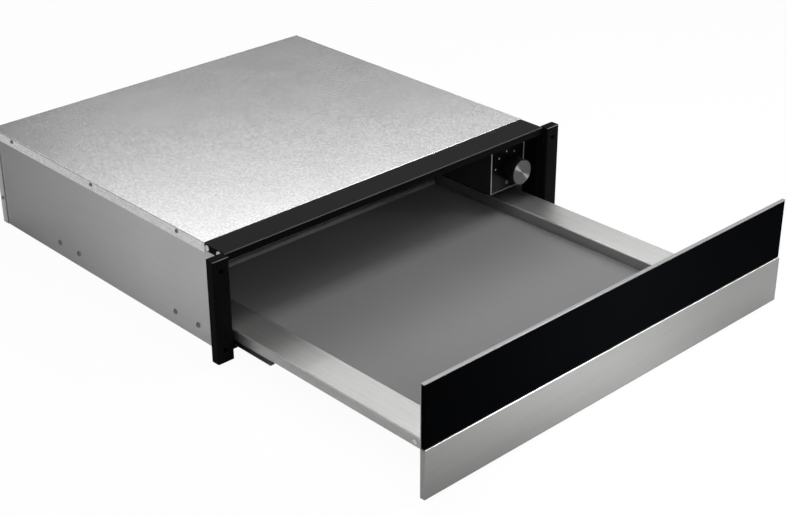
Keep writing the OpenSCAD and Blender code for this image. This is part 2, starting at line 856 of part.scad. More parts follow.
module cable_gland() {
    neck_r = gland_bore_r + gland_wall;
    color("black") difference() {
        union() {
            rod_y(-inlet_x, back_in - gland_in, back_out, inlet_z, neck_r - play);
            rod_y(-inlet_x, back_in - gland_nut_t, back_in, inlet_z, gland_r);
            rod_y(-inlet_x, back_out, back_out + gland_nut_t, inlet_z, gland_r);
            rod_y(-inlet_x, back_out, back_out + gland_reach, inlet_z, neck_r);
        }
        rod_y(-inlet_x, back_in - gland_in - cut, back_out + gland_reach + cut, inlet_z,
              gland_bore_r);
    }
}

module wiring_loom() {
    block_z = sheet_t + block_h;
    x0 = -inlet_x + block_w / 2 - wire_r;
    low = [x0, wire_y, inlet_z];
    top = [x0, wire_y, wire_z];
    right = [wire_x, wire_y, wire_z];
    color("firebrick") {
        rod_y(x0, block_y1, wire_y, inlet_z, wire_r);
        translate(low) sphere(r = wire_r);
        rod_z(x0, wire_y, inlet_z, wire_z, wire_r);
        translate(top) sphere(r = wire_r);
        rod_x(x0, wire_x, wire_y, wire_z, wire_r);
        translate(right) sphere(r = wire_r);
        rod_y(wire_x, control_y1, wire_y, wire_z, wire_r);
        rod_z(0, wire_y, heater_z1, wire_z, wire_r);
    }
}

module latch_housing() {
    color("dimgray") difference() {
        span([-latch_w / 2, latch_y0, sheet_t], [latch_w / 2, latch_y1, sheet_t + latch_h]);
        rod_y(0, latch_y0 - cut, latch_y1 + cut, latch_z, plunger_r + play);
    }
}

module latch_plunger() {
    y1 = min(latch_y0 + plunger_tail, latch_y1 - plunger_travel);
    color("white") rod_y(0, latch_y0 - plunger_out, y1, latch_z, plunger_r);
}

// Runners

module runner_outer(side) {
    color("silver") at_side(side) difference() {
        union() {
            span([rail_x1 - rail_t, fixed_rail_y0, o0], [rail_x1, fixed_rail_y1, o3]);
            for (z = [o0, o2])
                span([rail_x0 + rail_mouth, fixed_rail_y0, z],
                     [rail_x1 - rail_t, fixed_rail_y1, z + rail_t]);
            for (y = stud_ys) rod_x(rail_x1, side_in, y, stud_z, stud_r);
        }
        for (y = stud_ys)
            rod_x(rail_x1 - rail_t - cut, side_in + cut, y, stud_z, screw_r + play);
    }
}

module runner_screws() {
    color("dimgray") for (side = [-1, 1], y = stud_ys) at_side(side)
        screw_x(side_out, y, stud_z, rail_screw_head_r, rail_screw_head_h,
                side_out - rail_x1);
}

module runner_middle(side) {
    color("darkgray") at_side(side) {
        span([rail_x0, middle_rail_y0, m0], [rail_x0 + rail_t, middle_rail_y1, m3]);
        for (z = [m0, m1 - rail_t, m2, m3 - rail_t])
            span([rail_x0 + rail_t, middle_rail_y0, z],
                 [guide_x1, middle_rail_y1, z + rail_t]);
    }
}

module runner_inner(side) {
    web_x0 = inner_x1 - rail_t;
    color("silver") at_side(side) {
        span([inner_x1 - leaf_w, drawer_rail_y0, i2], [inner_x1, drawer_rail_y1, i3]);
        span([web_x0, drawer_rail_y0, i0], [inner_x1, drawer_rail_y1, i2]);
        span([rail_x0 + rail_mouth, drawer_rail_y0, i0], [web_x0, drawer_rail_y1, i1]);
    }
}

// A strip with a row of balls above and below the guide that it rolls on
module ball_cage(side, y0, za, zb, web_x) {
    pitch = cage_l / cage_balls;
    color("gold") at_side(side) {
        span([web_x, y0, za - cage_t / 2], [web_x + cage_t, y0 + cage_l, zb + cage_t / 2]);
        for (z = [za, zb]) {
            span([ball_x - ball_d, y0, z - cage_t / 2], [web_x, y0 + cage_l, z + cage_t / 2]);
            for (n = [0 : cage_balls - 1])
                translate([ball_x, y0 + (n + 0.5) * pitch, z])
                    sphere(r = ball_d / 2 - play);
        }
    }
}

module ball_cage_lower(side) {
    ball_cage(side, lower_cage_y0, (o1 + m0) / 2, (m1 + o2) / 2,
              (guide_x1 + rail_x1 - rail_t - cage_t) / 2);
}

module ball_cage_upper(side) {
    ball_cage(side, upper_cage_y0, (i1 + m2) / 2, (m3 + i2) / 2,
              (guide_x1 + inner_x1 - rail_t - cage_t) / 2);
}

// Drawer

module drawer_tray() {
    color("lightsteelblue") difference() {
        union() {
            span([-ledge_in - tray_t, tray_y0, floor_z0], [ledge_in + tray_t, tray_y1, floor_z1]);
            span([-ledge_in, tray_y0, floor_z1], [ledge_in, tray_y0 + tray_t, ledge_z]);
            span([-ledge_in, tray_y1 - tray_t, floor_z1],
                 [ledge_in, tray_y1, floor_z1 + rear_wall_h]);
            for (side = [-1, 1]) at_side(side) {
                span([ledge_in, tray_y0, floor_z1], [ledge_in + tray_t, tray_y1, ledge_under]);
                span([ledge_in, tray_y0, ledge_under], [drawer_half, tray_y1, ledge_z]);
                span([ledge_lip_in, tray_y0, lip_z0], [drawer_half, tray_y1, ledge_under]);
            }
        }
        for (side = [-1, 1]) at_side(side)
            rod_x(ledge_lip_in - cut, drawer_half + cut, panel_back + arm_screw_y,
                  arm_screw_z, screw_r + play);
    }
}

module anti_slip_mat() {
    half = ledge_in - mat_gap;
    color("dimgray")
        span([-half, tray_y0 + tray_t + mat_gap, floor_z1],
             [half, tray_y1 - tray_t - mat_gap, floor_z1 + mat_t]);
}

module panel_backing() {
    half = panel_w / 2;
    color("silver") {
        span([-half, backing_front, panel_lift], [half, panel_back, panel_z1]);
        span([-half, glass_front_y, panel_z1 - panel_t], [half, backing_front, panel_z1]);
    }
}

module glass_front() {
    half = panel_w / 2 - glass_inset;
    color("black")
        span([-half, glass_front_y, steel_z1 + glass_gap],
             [half, backing_front, panel_z1 - panel_t - glass_gap]);
}

module steel_front() {
    half = panel_w / 2;
    color("lightgray") difference() {
        span([-half, steel_front_y, panel_lift], [half, backing_front, steel_z1]);
        span([-half + panel_t, steel_front_y + panel_t, panel_lift + panel_t],
             [half - panel_t, backing_front + cut, steel_z1 - panel_t]);
    }
}

module panel_bracket(side) {
    plate_z0 = panel_lift + 7 * bracket_t;
    color("silver") at_side(side) difference() {
        union() {
            span([bracket_x0, panel_back, plate_z0],
                 [arm_x1, tray_y0, panel_lift + bracket_h]);
            span([arm_x0, tray_y0, arm_z0], [arm_x1, panel_back + arm_l, arm_z1]);
        }
        rod_x(arm_x0 - cut, arm_x1 + cut, panel_back + arm_screw_y, arm_screw_z,
              screw_r + play);
        for (s = bracket_screw_shares)
            rod_y((bracket_x0 + arm_x0) / 2, panel_back - cut, tray_y0 + cut,
                  panel_lift + s * bracket_h, screw_r + play);
    }
}

module drawer_screws() {
    color("dimgray") for (side = [-1, 1]) at_side(side) {
        screw_x(drawer_half, panel_back + arm_screw_y, arm_screw_z,
                rail_screw_head_r - 2 * seam, screw_head_h, 2 * tray_t);
        for (s = bracket_screw_shares)
            screw_y((bracket_x0 + arm_x0) / 2, tray_y0, panel_lift + s * bracket_h,
                    screw_head_r, screw_head_h / 2, bracket_t, 1);
    }
}

module panel_buffers() {
    color("black") for (side = [-1, 1], s = buffer_shares) at_side(side)
        rod_y(panel_w / 2 - buffer_inset, panel_back, panel_back + panel_gap - seam,
              panel_lift + s * panel_h, buffer_r);
}

module latch_striker() {
    color("silver") {
        span([-striker_w / 2, striker_y1 - bracket_t, latch_z - plunger_r],
             [striker_w / 2, striker_y1, floor_z0 - bracket_t]);
        span([-striker_w / 2, striker_y1 - striker_foot, floor_z0 - bracket_t],
             [striker_w / 2, striker_y1, floor_z0]);
    }
}

base_plate();
side_panel(-1);  // side_panel_left
side_panel(1);  // side_panel_right
back_panel();
top_cover();
cover_screws();
back_screws();
frame_top_bar();
top_bar_screws();
frame_post(-1);  // frame_post_left
frame_post(1);  // frame_post_right
frame_bottom_bar();
control_box();
control_facia();
facia_trim();
thermostat_body();
capillary_tube();
heater_housing();
heater_grille();
heating_element();
fan_motor();
thermal_cutout();
terminal_block();
cable_gland();
wiring_loom();
latch_housing();
runner_outer(-1);  // runner_outer_left
runner_outer(1);  // runner_outer_right
runner_screws();
fan_shaft();
fan_impeller();
knob_body();
knob_cap();
knob_shaft();
latch_plunger();
runner_middle(-1);  // runner_middle_left
runner_middle(1);  // runner_middle_right
ball_cage_lower(-1);  // ball_cage_lower_left
ball_cage_lower(1);  // ball_cage_lower_right
ball_cage_upper(-1);  // ball_cage_upper_left
ball_cage_upper(1);  // ball_cage_upper_right
runner_inner(-1);  // runner_inner_left
runner_inner(1);  // runner_inner_right
drawer_tray();
anti_slip_mat();
panel_backing();
glass_front();
steel_front();
panel_bracket(-1);  // panel_bracket_left
panel_bracket(1);  // panel_bracket_right
drawer_screws();
panel_buffers();
latch_striker();
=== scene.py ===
import json
import math

import bmesh
import bpy
from mathutils import Matrix, Vector


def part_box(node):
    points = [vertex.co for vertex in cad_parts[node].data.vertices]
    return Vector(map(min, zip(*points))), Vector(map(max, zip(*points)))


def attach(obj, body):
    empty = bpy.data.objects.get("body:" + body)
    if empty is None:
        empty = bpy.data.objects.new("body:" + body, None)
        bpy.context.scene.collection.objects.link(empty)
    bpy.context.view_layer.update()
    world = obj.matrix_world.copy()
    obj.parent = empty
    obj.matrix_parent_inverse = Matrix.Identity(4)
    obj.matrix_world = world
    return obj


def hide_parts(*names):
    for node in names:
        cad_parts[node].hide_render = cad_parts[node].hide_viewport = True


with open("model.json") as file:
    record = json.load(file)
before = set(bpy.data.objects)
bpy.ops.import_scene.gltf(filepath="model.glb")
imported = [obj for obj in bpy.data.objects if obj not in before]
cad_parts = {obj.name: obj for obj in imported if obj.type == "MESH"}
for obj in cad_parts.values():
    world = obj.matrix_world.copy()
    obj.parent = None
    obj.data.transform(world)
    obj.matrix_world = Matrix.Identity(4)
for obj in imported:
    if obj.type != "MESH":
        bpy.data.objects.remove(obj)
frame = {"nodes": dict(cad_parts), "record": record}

nodes = frame["nodes"]
slotOf = {part["node"]: part["material_slot"] for part in frame["record"]["subparts"]}
bodyOf = {node: body for body, members in frame["record"]["behaviour"]["bodies"].items() for node in members}
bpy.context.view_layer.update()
mm = 0.001
small = 1e-5  # how near a corner has to be to count as being on a place

# ---- camera and studio

shot = {
    "azimuth": 43.03, "elevation": 27.42, "roll": -0.33,
    "place": (-1.1796, -1.5084, 0.9299),
    "focalPixels": 1566.2, "framePixels": 786, "sensorWidth": 36, "near": 0.05, "far": 100,
}


def makeCamera():
    data = bpy.data.cameras.new("camera")
    data.sensor_width = shot["sensorWidth"]
    data.lens = shot["focalPixels"] / shot["framePixels"] * shot["sensorWidth"]
    data.clip_start, data.clip_end = shot["near"], shot["far"]
    camera = bpy.data.objects.new("camera", data)
    bpy.context.scene.collection.objects.link(camera)
    turn = Matrix.Rotation(-math.radians(shot["azimuth"]), 4, "Z")
    tilt = Matrix.Rotation(math.radians(90 - shot["elevation"]), 4, "X")
    roll = Matrix.Rotation(math.radians(shot["roll"]), 4, "Z")
    camera.matrix_world = Matrix.Translation(shot["place"]) @ turn @ tilt @ roll
    bpy.context.scene.camera = camera
    bpy.context.scene.view_settings.view_transform = "Standard"


studio = {
    "worldStrength": 0.11,
    "floorSize": 60, "floorDrop": 0.4 * mm, "floorColour": 0.9,
    "floorLift": 0.96,  # share of plain white that the camera sees in the floor
    "floorLiftInMetal": 0.16, "skyLiftInMetal": 0.04,
}
# name: (place, aims at, width, height, watts, tip in degrees)
lamps = {
    "overhead": ((0, -0.38, 1.0), (0, -0.3, 0.1), 0.8, 0.3, 4.2, 0),
    "rightLow": ((1.3, -1.3, 0.7), (-0.2, -0.35, 0.05), 0.5, 0.4, 4.5, 0),
    "frontFill": ((-0.3, -2.2, 1.6), (0, -0.4, 0.1), 1.2, 0.9, 6, 0),
    "rightOver": ((0.8, -0.62, 0.93), (0, -0.33, 0.05), 0.5, 0.3, 5.0, 0),
    "backWindow": ((3.777, 2.694, 3.995), (0, 0, 0.1), 5.2, 2.95, 96, 10),
    "backLeft": ((-0.88, 2.4, 2.5), (-0.1, 0, 0.1), 2.4, 1.2, 14, 0),
    "leftHigh": ((-1.3, -0.45, 0.9), (-0.1, -0.25, 0.05), 0.7, 0.5, 2.3, 0),
    "pool": ((0.02, -0.74, 0.25), (0.02, -0.74, 0), 0.16, 0.1, 1.15, 0),
}


def makeLamps():
    for name, (place, aim, width, height, watts, tip) in lamps.items():
        data = bpy.data.lights.new(name, "AREA")
        data.shape, data.size, data.size_y, data.energy = "RECTANGLE", width, height, watts
        lamp = bpy.data.objects.new(name, data)
        bpy.context.scene.collection.objects.link(lamp)
        way = Vector(aim) - Vector(place)
        turn = way.to_track_quat("-Z", "Y").to_matrix().to_4x4()
        lamp.matrix_world = Matrix.Translation(place) @ turn @ Matrix.Rotation(math.radians(tip), 4, "Z")
        lamp.visible_camera = False


def makeWorld():
    world = bpy.data.worlds.new("studio")
    f = Finish("studio", world)
    plain = studio["worldStrength"]
    strength = plain + f.bySight(1 - plain, studio["skyLiftInMetal"])
    f.add("OutputWorld", None, {
        "Surface": f.add("Background", None, {"Strength": strength, "Color": (1, 1, 1, 1)})})
    bpy.context.scene.world = world


# ---- shader sums


class Wire:  # a socket that can be used in sums
    def __init__(self, finish, socket):
        self.finish, self.socket = finish, socket

    def sum(self, operation, first, second):
        return self.finish.add("Math", {"operation": operation}, {0: first, 1: second})

    def __add__(self, other):
        return self.sum("ADD", self, other)

    def __radd__(self, other):
        return self.sum("ADD", other, self)

    def __sub__(self, other):
        return self.sum("SUBTRACT", self, other)

    def __rsub__(self, other):
        return self.sum("SUBTRACT", other, self)

    def __mul__(self, other):
        return self.sum("MULTIPLY", self, other)

    def __rmul__(self, other):
        return self.sum("MULTIPLY", other, self)

    def __pow__(self, other):
        return self.sum("POWER", self, other)


class Finish:  # one material, or the world, and its nodes
    def __init__(self, name, world=None):
        self.material = world or bpy.data.materials.new(name)
        self.material.use_nodes = True
        self.tree = self.material.node_tree
        self.tree.nodes.clear()
        self.spot = self.add("TexCoord", out="Object")

    def add(self, kind, settings=None, values=None, out=0):
        node = self.tree.nodes.new("ShaderNode" + kind)
        for key, value in (settings or {}).items():
            if key == "stops":
                ramp = node.color_ramp.elements
                while len(ramp) < len(value):
                    ramp.new(1)
                for stop, (place, grey) in zip(ramp, value):
                    stop.position, stop.color = place, (grey, grey, grey, 1)
            else:
                setattr(node, key, value)
        for key, value in (values or {}).items():
            if isinstance(value, Wire):
                self.tree.links.new(value.socket, node.inputs[key])
            else:
                node.inputs[key].default_value = value
        return Wire(self, node.outputs[out]) if node.outputs else None

    def noise(self, size, stretch=(1, 1, 1), detail=3, rough=0.5):
        place = self.add("Mapping", None, {"Vector": self.spot, "Scale": stretch})
        return self.add("TexNoise", None, {
            "Vector": place, "Scale": 1 / size, "Detail": detail, "Roughness": rough})

    def cells(self, size, out="Distance"):
        return self.add("TexVoronoi", None, {"Vector": self.spot, "Scale": 1 / size}, out)

    def along(self, axis):  # a place's distance from the origin along one axis
        return self.add("SeparateXYZ", None, {0: self.spot}, axis)

    def rubbed(self):  # the share of painted highlight that the edge marking gave to each face
        return self.add("Attribute", {"attribute_name": "rubbed"}, None, "Fac")

    def bySight(self, camera, metal):  # one value for the camera and another for what metal and glass show
        seen, glossy, through = (self.add("LightPath", out="Is " + ray + " Ray")
                                 for ray in ("Camera", "Glossy", "Transmission"))
        return seen * camera + (glossy + through) * metal

    def ramp(self, value, *stops):
        return self.add("ValToRGB", {"stops": stops}, {"Fac": value})

    def blendColour(self, share, first, second):
        return self.add("Mix", {"data_type": "RGBA"}, {0: share, 6: first, 7: second}, 2)

    def tinted(self, base, amount, value):  # base colour darkened and lightened round a value of 0.5
        low = tuple(max(0, c * (1 - amount)) for c in base[:3]) + (1,)
        high = tuple(min(1, c * (1 + amount)) for c in base[:3]) + (1,)
        return self.blendColour(value, low, high)

    def bumped(self, height, strength, depth):
        return self.add("Bump", None, {"Height": height, "Strength": strength, "Distance": depth}, "Normal")

    def close(self, **values):
        names = {"colour": "Base Color", "roughness": "Roughness", "metallic": "Metallic", "normal": "Normal",
                 "specular": "Specular IOR Level", "coat": "Coat Weight", "coatRoughness": "Coat Roughness"}
        shader = self.add("BsdfPrincipled", None, {names[k]: v for k, v in values.items()}, "BSDF")
        self.add("OutputMaterial", None, {"Surface": shader})
        return self.material


# ---- finishes


def paleFloor():
    f = Finish("paleFloor")
    colour = f.tinted((studio["floorColour"],) * 3, 0.02, f.noise(0.4))
    plain = f.add("BsdfDiffuse", None, {"Color": colour}, "BSDF")
    white = f.add("Emission", None, {"Color": (1, 1, 1, 1), "Strength": 1.0}, "Emission")
    share = f.bySight(studio["floorLift"], studio["floorLiftInMetal"])
    f.add("OutputMaterial", None, {
        "Surface": f.add("MixShader", None, {0: share, 1: plain, 2: white}, "Shader")})
    return f.material


def spangledZinc(name="spangledZinc", base=0.78, rough=0.24):  # hot-dip sheet: fine bright grains on grey
    f = Finish(name)
    grains = f.cells(2.2 * mm, out="Color")
    fine = f.noise(1.5 * mm, detail=1)
    clouds = f.noise(60 * mm, detail=3)
    tone = grains * 0.45 + fine * 0.4 + clouds * 0.15
    return f.close(
        colour=f.tinted((base, base, base * 1.005), 0.14, f.ramp(tone, (0.3, 0), (0.7, 1))),
        metallic=1.0, roughness=rough + 0.02 * clouds)


# where coated sheet is darkened: (place, share) pairs, with the places 0 to 1 for y = -1 m to 1 m
# painted shade: the side panels get darker towards the back
shadeSide = ((0.45, 0), (0.617, 1), (0.6175, 0))
# the rails darker in front of y = -0.599 m
railFrontDark = ((0.2005, 1), (0.203, 0))


def satinZinc(name="satinZinc", base=0.58, rough=0.42, darkening=0.47, stops=shadeSide):  # smooth coated sheet, darkened where its stops say
    f = Finish(name)
    darkShare = f.ramp(f.along("Y") * 0.5 + 0.5, *stops)
    fine = f.noise(0.8 * mm, detail=2)
    streaks = f.noise(5 * mm, stretch=(1, 0.06, 1), detail=4)
    clouds = f.noise(90 * mm, detail=2)
    plain = f.tinted((base, base, base * 1.01), 0.1, (streaks + clouds) * 0.5)
    dark = base * 0.15
    return f.close(
        # darkened by the stops' share: painted shade on the side panels
        colour=f.blendColour(darkShare * darkening, plain, (dark, dark, dark, 1)),
        metallic=1.0, roughness=rough + 0.08 * (clouds - 0.5) + 0.05 * fine,
        normal=f.bumped(fine, 0.12, 0.03 * mm))


def brushedSteel(name, base, along, rough=0.3, streak=0.22, coat=0.0):  # long fine scratches that run one way
    f = Finish(name)
    stretch = {"x": (0.02, 1, 1), "y": (1, 0.02, 1), "z": (1, 1, 0.02)}[along]
    hair = f.noise(0.35 * mm, stretch=stretch, detail=4, rough=0.7)
    wide = f.noise(2.5 * mm, stretch=stretch, detail=3)
    clouds = f.noise(120 * mm, detail=2)
    lines = f.ramp(hair * 0.6 + wide * 0.4, (0.3, 0), (0.7, 1))
    return f.close(
        colour=f.blendColour(
            # painted highlight: the marked edges turn pale grey
            f.rubbed(), f.tinted((base, base * 0.995, base * 0.985), streak, lines), (0.9, 0.9, 0.89, 1)),
        metallic=1.0, roughness=rough + 0.14 * hair + 0.06 * (clouds - 0.5), coat=coat, coatRoughness=0.07,
        normal=f.bumped(hair, 0.3, 0.02 * mm))


def powderBlack(name="powderBlack", base=0.004, rough=0.45, specular=0.02):
    f = Finish(name)
    peel = f.noise(1.2 * mm, detail=2)
    fine = f.noise(0.4 * mm, detail=2)
    dust = f.noise(40 * mm, detail=4)
    plain = f.tinted((base, base, base * 1.05), 0.35, dust)
    return f.close(
        # painted highlight: the marked edges and faces turn grey
        colour=f.blendColour(f.rubbed(), plain, (0.33, 0.33, 0.33, 1)),
        specular=specular, roughness=rough + 0.12 * fine + 0.06 * dust,
        normal=f.bumped(peel, 0.25, 0.06 * mm))


def mouldedPlastic(name, colour, rough=0.45, specular=0.4, grain=0.5):
    f = Finish(name)
    skin = f.noise(grain * mm, detail=2)
    clouds = f.noise(15 * mm, detail=3)
    return f.close(colour=f.tinted(colour, 0.08, clouds), specular=specular,
                   roughness=rough + 0.1 * (skin - 0.5), normal=f.bumped(skin, 0.15, 0.03 * mm))


def matRubber():
    f = Finish("matRubber")
    weave = f.cells(1.6 * mm)
    fine = f.noise(0.5 * mm, detail=2)
    clouds = f.noise(80 * mm, detail=3)
    return f.close(
        colour=f.tinted((0.152, 0.152, 0.155), 0.1, fine * 0.6 + clouds * 0.4), specular=0.35,
        roughness=0.5 + 0.1 * fine, normal=f.bumped(weave * 0.5 + fine * 0.5, 0.25, 0.06 * mm))


def blackGlass():
    f = Finish("blackGlass")
    wipe = f.noise(70 * mm, detail=3)
    return f.close(colour=(0.0012, 0.0014, 0.0018, 1), specular=0.0015, roughness=0.03 + 0.03 * wipe,
                   normal=f.bumped(wipe, 0.03, 0.2 * mm))


def printedGrey():
    f = Finish("printedGrey")
    fleck = f.noise(0.3 * mm)
    return f.close(colour=f.tinted((0.55, 0.55, 0.56), 0.15, fleck), specular=0.3, roughness=0.5)


# flareAngle, flareSharpness and bright set the painted highlight on the knob's face
spun = {"flareAngle": 139, "flareSharpness": 30.0, "ring": 0.45 * mm, "dark": 0.088, "bright": 0.4}


def spunMetal():  # rings turned round the knob's axis, with fine rays across them and a painted highlight fan
    f = Finish("spunMetal")
    low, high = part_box("knob_cap")
    centre = (low + high) / 2
    local = f.add("Mapping", None, {"Vector": f.spot, "Location": tuple(-centre)})
    x, z = (f.add("SeparateXYZ", None, {0: local}, axis) for axis in "XZ")
    reach = (x * x + z * z) ** 0.5
    angle = f.add("Math", {"operation": "ARCTAN2"}, {0: z, 1: x})
    rings = f.add("Math", {"operation": "SINE"}, {0: reach * (2 * math.pi / spun["ring"])})
    swing = f.add("Math", {"operation": "COSINE"}, {0: 2 * (angle - math.radians(spun["flareAngle"]))})
    paintedFlare = (0.5 + 0.5 * swing) ** spun["flareSharpness"]  # painted highlight: the bright fan that turned metal shows under light
    fine = f.noise(0.4 * mm)
    dull = f.tinted((spun["dark"],) * 3, 0.4, 0.5 + 0.3 * rings * fine)
    return f.close(
        colour=f.blendColour(paintedFlare, dull, (spun["bright"],) * 3 + (1,)),
        metallic=1.0, roughness=0.34 + 0.08 * rings, normal=f.bumped(rings, 0.25, 0.02 * mm))


def drawnCopper():
    f = Finish("drawnCopper")
    tarnish = f.noise(9 * mm, detail=4)
    return f.close(colour=f.blendColour(tarnish, (0.62, 0.3, 0.17, 1), (0.33, 0.17, 0.11, 1)), metallic=1.0,
                   roughness=0.28 + 0.2 * tarnish)


def heatedTube():
    f = Finish("heatedTube")
    scale = f.noise(6 * mm, detail=5)
    return f.close(colour=f.blendColour(scale, (0.09, 0.08, 0.07, 1), (0.16, 0.12, 0.1, 1)), metallic=0.8,
                   roughness=0.5 + 0.2 * scale, normal=f.bumped(scale, 0.2, 0.1 * mm))


def zincScrew():
    f = Finish("zincScrew")
    grain = f.noise(0.5 * mm, detail=3)
    paintedGlint = f.ramp(f.along("Y") * 2 + 0.5, (0.075, 1), (0.1, 0))  # painted light: screws in front of y = -0.2 m get a bright colour as if lit, the others a dark one as if shaded
    return f.close(
        colour=f.blendColour(paintedGlint, f.tinted((0.24, 0.24, 0.23), 0.2, grain), (0.85, 0.85, 0.83, 1)),
        metallic=1.0, roughness=0.13 + 0.1 * grain + 0.3 * paintedGlint)


makeCamera()
makeLamps()
makeWorld()
print("studio: camera, lamps, world")

finishes = {
    "galvanised_sheet": spangledZinc(), "side_sheet": satinZinc(), "zinc_screws": zincScrew(),
    "black_frame": powderBlack(), "black_box": powderBlack("blackBox", 0.03, 0.35, 0.3),
    "facia_black": mouldedPlastic("faciaBlack", (0.005, 0.005, 0.006), 0.3, 0.08),
    "grey_print": printedGrey(),
    "ivory_plastic": mouldedPlastic("ivoryPlastic", (0.62, 0.56, 0.43), 0.5),
    "copper_tube": drawnCopper(), "aluminised_sheet": spangledZinc("aluminisedSheet", 0.55, 0.34),
    "element_steel": heatedTube(), "motor_iron": powderBlack("motorIron", 0.05, 0.5, 0.4),
    "ceramic": mouldedPlastic("ceramic", (0.75, 0.7, 0.6), 0.35, 0.5, 0.9),
    "black_nylon": mouldedPlastic("blackNylon", (0.012, 0.012, 0.012), 0.5, 0.4),
    "wire_cover": mouldedPlastic("wireCover", (0.25, 0.02, 0.015), 0.5, 0.4),
    "rail_steel": satinZinc("railSteel", 0.5, 0.3, 0.55, railFrontDark),
    "cage_steel": brushedSteel("cageSteel", 0.5, "y"),
    "shaft_steel": brushedSteel("shaftSteel", 0.55, "y"),
    "fan_sheet": brushedSteel("fanSheet", 0.6, "x", 0.38),
    "knob_black": mouldedPlastic("knobBlack", (0.006, 0.006, 0.006), 0.4, 0.25),
    "spun_metal": spunMetal(), "white_plastic": mouldedPlastic("whitePlastic", (0.75, 0.75, 0.72), 0.4),
    "stainless": brushedSteel("trayStainless", 0.44, "y", 0.4, 0.16, 0.3),
    "front_steel": brushedSteel("frontSteel", 0.25, "x", 0.3, 0.08), "mat_rubber": matRubber(),
    "black_glass": blackGlass(),
    "buffer_rubber": mouldedPlastic("bufferRubber", (0.015, 0.015, 0.015), 0.7, 0.3),
}
for part in frame["record"]["subparts"]:
    node = nodes[part["node"]]
    node.data.materials.clear()
    node.data.materials.append(finishes[part["material_slot"]])
print("finishes: on all", len(nodes), "nodes")


# ---- modelling helpers

clear = 1 * mm  # how far a cutter reaches past what it cuts
axes = {"x": Vector((1, 0, 0)), "y": Vector((0, 1, 0)), "z": Vector((0, 0, 1))}
left, right, front, back, up = (-1, 0, 0), (1, 0, 0), (0, -1, 0), (0, 1, 0), (0, 0, 1)


def aimed(way):  # turns what stands along z to point along a way
    return Vector(way).normalized().to_track_quat("Z", "Y").to_matrix().to_4x4()


def deselect():
    if bpy.context.mode != "OBJECT":
        bpy.ops.object.mode_set(mode="OBJECT")
    bpy.ops.object.select_all(action="DESELECT")


def pick(*objects):
    deselect()
    for item in objects:
        item.select_set(True)
    bpy.context.view_layer.objects.active = objects[0]


def settle(piece):  # its place goes into its mesh
    pick(piece)
    bpy.ops.object.transform_apply(location=True, rotation=True, scale=True)
    return piece


def edit(piece, kind, test):  # opens edit mode with the corners, edges or faces that pass the test
    pick(piece)
    bpy.ops.object.mode_set(mode="EDIT")
    bpy.ops.mesh.select_mode(type=kind)
    bpy.ops.mesh.select_all(action="DESELECT")
    mesh = bmesh.from_edit_mesh(piece.data)
    items = {"VERT": mesh.verts, "EDGE": mesh.edges, "FACE": mesh.faces}[kind]
    for item in [item for item in items if test(item)]:
        item.select_set(True)
    bmesh.update_edit_mesh(piece.data)


def extrude(*move):
    bpy.ops.mesh.extrude_region_move(TRANSFORM_OT_translate={"value": move})


def applied(piece, kind, **settings):
    pick(piece)
    modifier = piece.modifiers.new(kind, kind)
    for key, value in settings.items():
        setattr(modifier, key, value)
    bpy.ops.object.modifier_apply(modifier=modifier.name)
    return piece


def thickened(piece, sheet, offset=-1):  # a sheet's faces become solid
    return applied(piece, "SOLIDIFY", thickness=sheet, offset=offset, use_even_offset=True)


def rounded(piece, test, radius, steps=4):  # rounds the edges that pass the test
    edit(piece, "EDGE", test)
    bpy.ops.mesh.bevel(offset=radius, segments=steps, affect="EDGES")
    deselect()
    return piece


def runsAlong(axis):  # a test for the edges that are parallel to an axis
    return lambda edge: abs((edge.verts[0].co - edge.verts[1].co).normalized().dot(axes[axis])) > 0.9


def softened(piece, width=0.25 * mm, steps=2, angle=50):  # rounds every sharp edge a little
    return applied(piece, "BEVEL", width=width, segments=steps, limit_method="ANGLE",
                   angle_limit=math.radians(angle))


def cutBy(piece, *cutters):
    for cutter in cutters:
        applied(piece, "BOOLEAN", object=cutter, operation="DIFFERENCE", solver="EXACT")
        bpy.data.objects.remove(cutter)
    return piece


def joined(*pieces):
    pick(*pieces)
    if len(pieces) > 1:
        bpy.ops.object.join()
    return bpy.context.active_object


def copied(piece, move=(0, 0, 0), turn=None):
    pick(piece)
    bpy.ops.object.duplicate()
    other = bpy.context.active_object
    other.matrix_world = Matrix.Translation(move) @ (turn or Matrix.Identity(4))
    return settle(other)


def mirrored(piece):  # the same piece for the other side
    other = copied(piece)
    other.scale.x = -1
    settle(other)
    mesh = bmesh.new()
    mesh.from_mesh(other.data)
    insideOut = mesh.calc_volume(signed=True) < 0
    mesh.free()
    if insideOut:
        edit(other, "FACE", lambda face: True)
        bpy.ops.mesh.flip_normals()
        deselect()
    return other


# how near the top, and how steeply, a face must lean to take the painted highlight
highlightBand = {"deep": 3 * mm, "lean": 0.3}


def paintedHighlightEdge(piece, top, share, side="y", level=0.0):
    # marks the rounded edge between the top and the front or left side, for the finish to lighten into a
    # painted highlight line; other upward faces near the top get the level
    mark = piece.data.attributes.new("rubbed", "FLOAT", "FACE")
    for face, value in zip(piece.data.polygons, mark.data):
        if face.center.z > top - highlightBand["deep"] and face.normal.z > highlightBand["lean"]:
            value.value = share if getattr(face.normal, side) < -highlightBand["lean"] else level
    return piece


def finished(piece, name, node, stands=True, angle=35):  # it looks and rides as the node that it stands for
    pick(piece)
    bpy.ops.object.shade_smooth_by_angle(angle=math.radians(angle))
    applied(piece, "WEIGHTED_NORMAL", keep_sharp=True)  # keeps the wide faces flat beside their rounded edges
    piece.name = piece.data.name = name
    piece.data.materials.clear()
    piece.data.materials.append(finishes[slotOf[node]])
    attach(piece, bodyOf[node])
    if stands:
        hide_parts(node)
    return piece


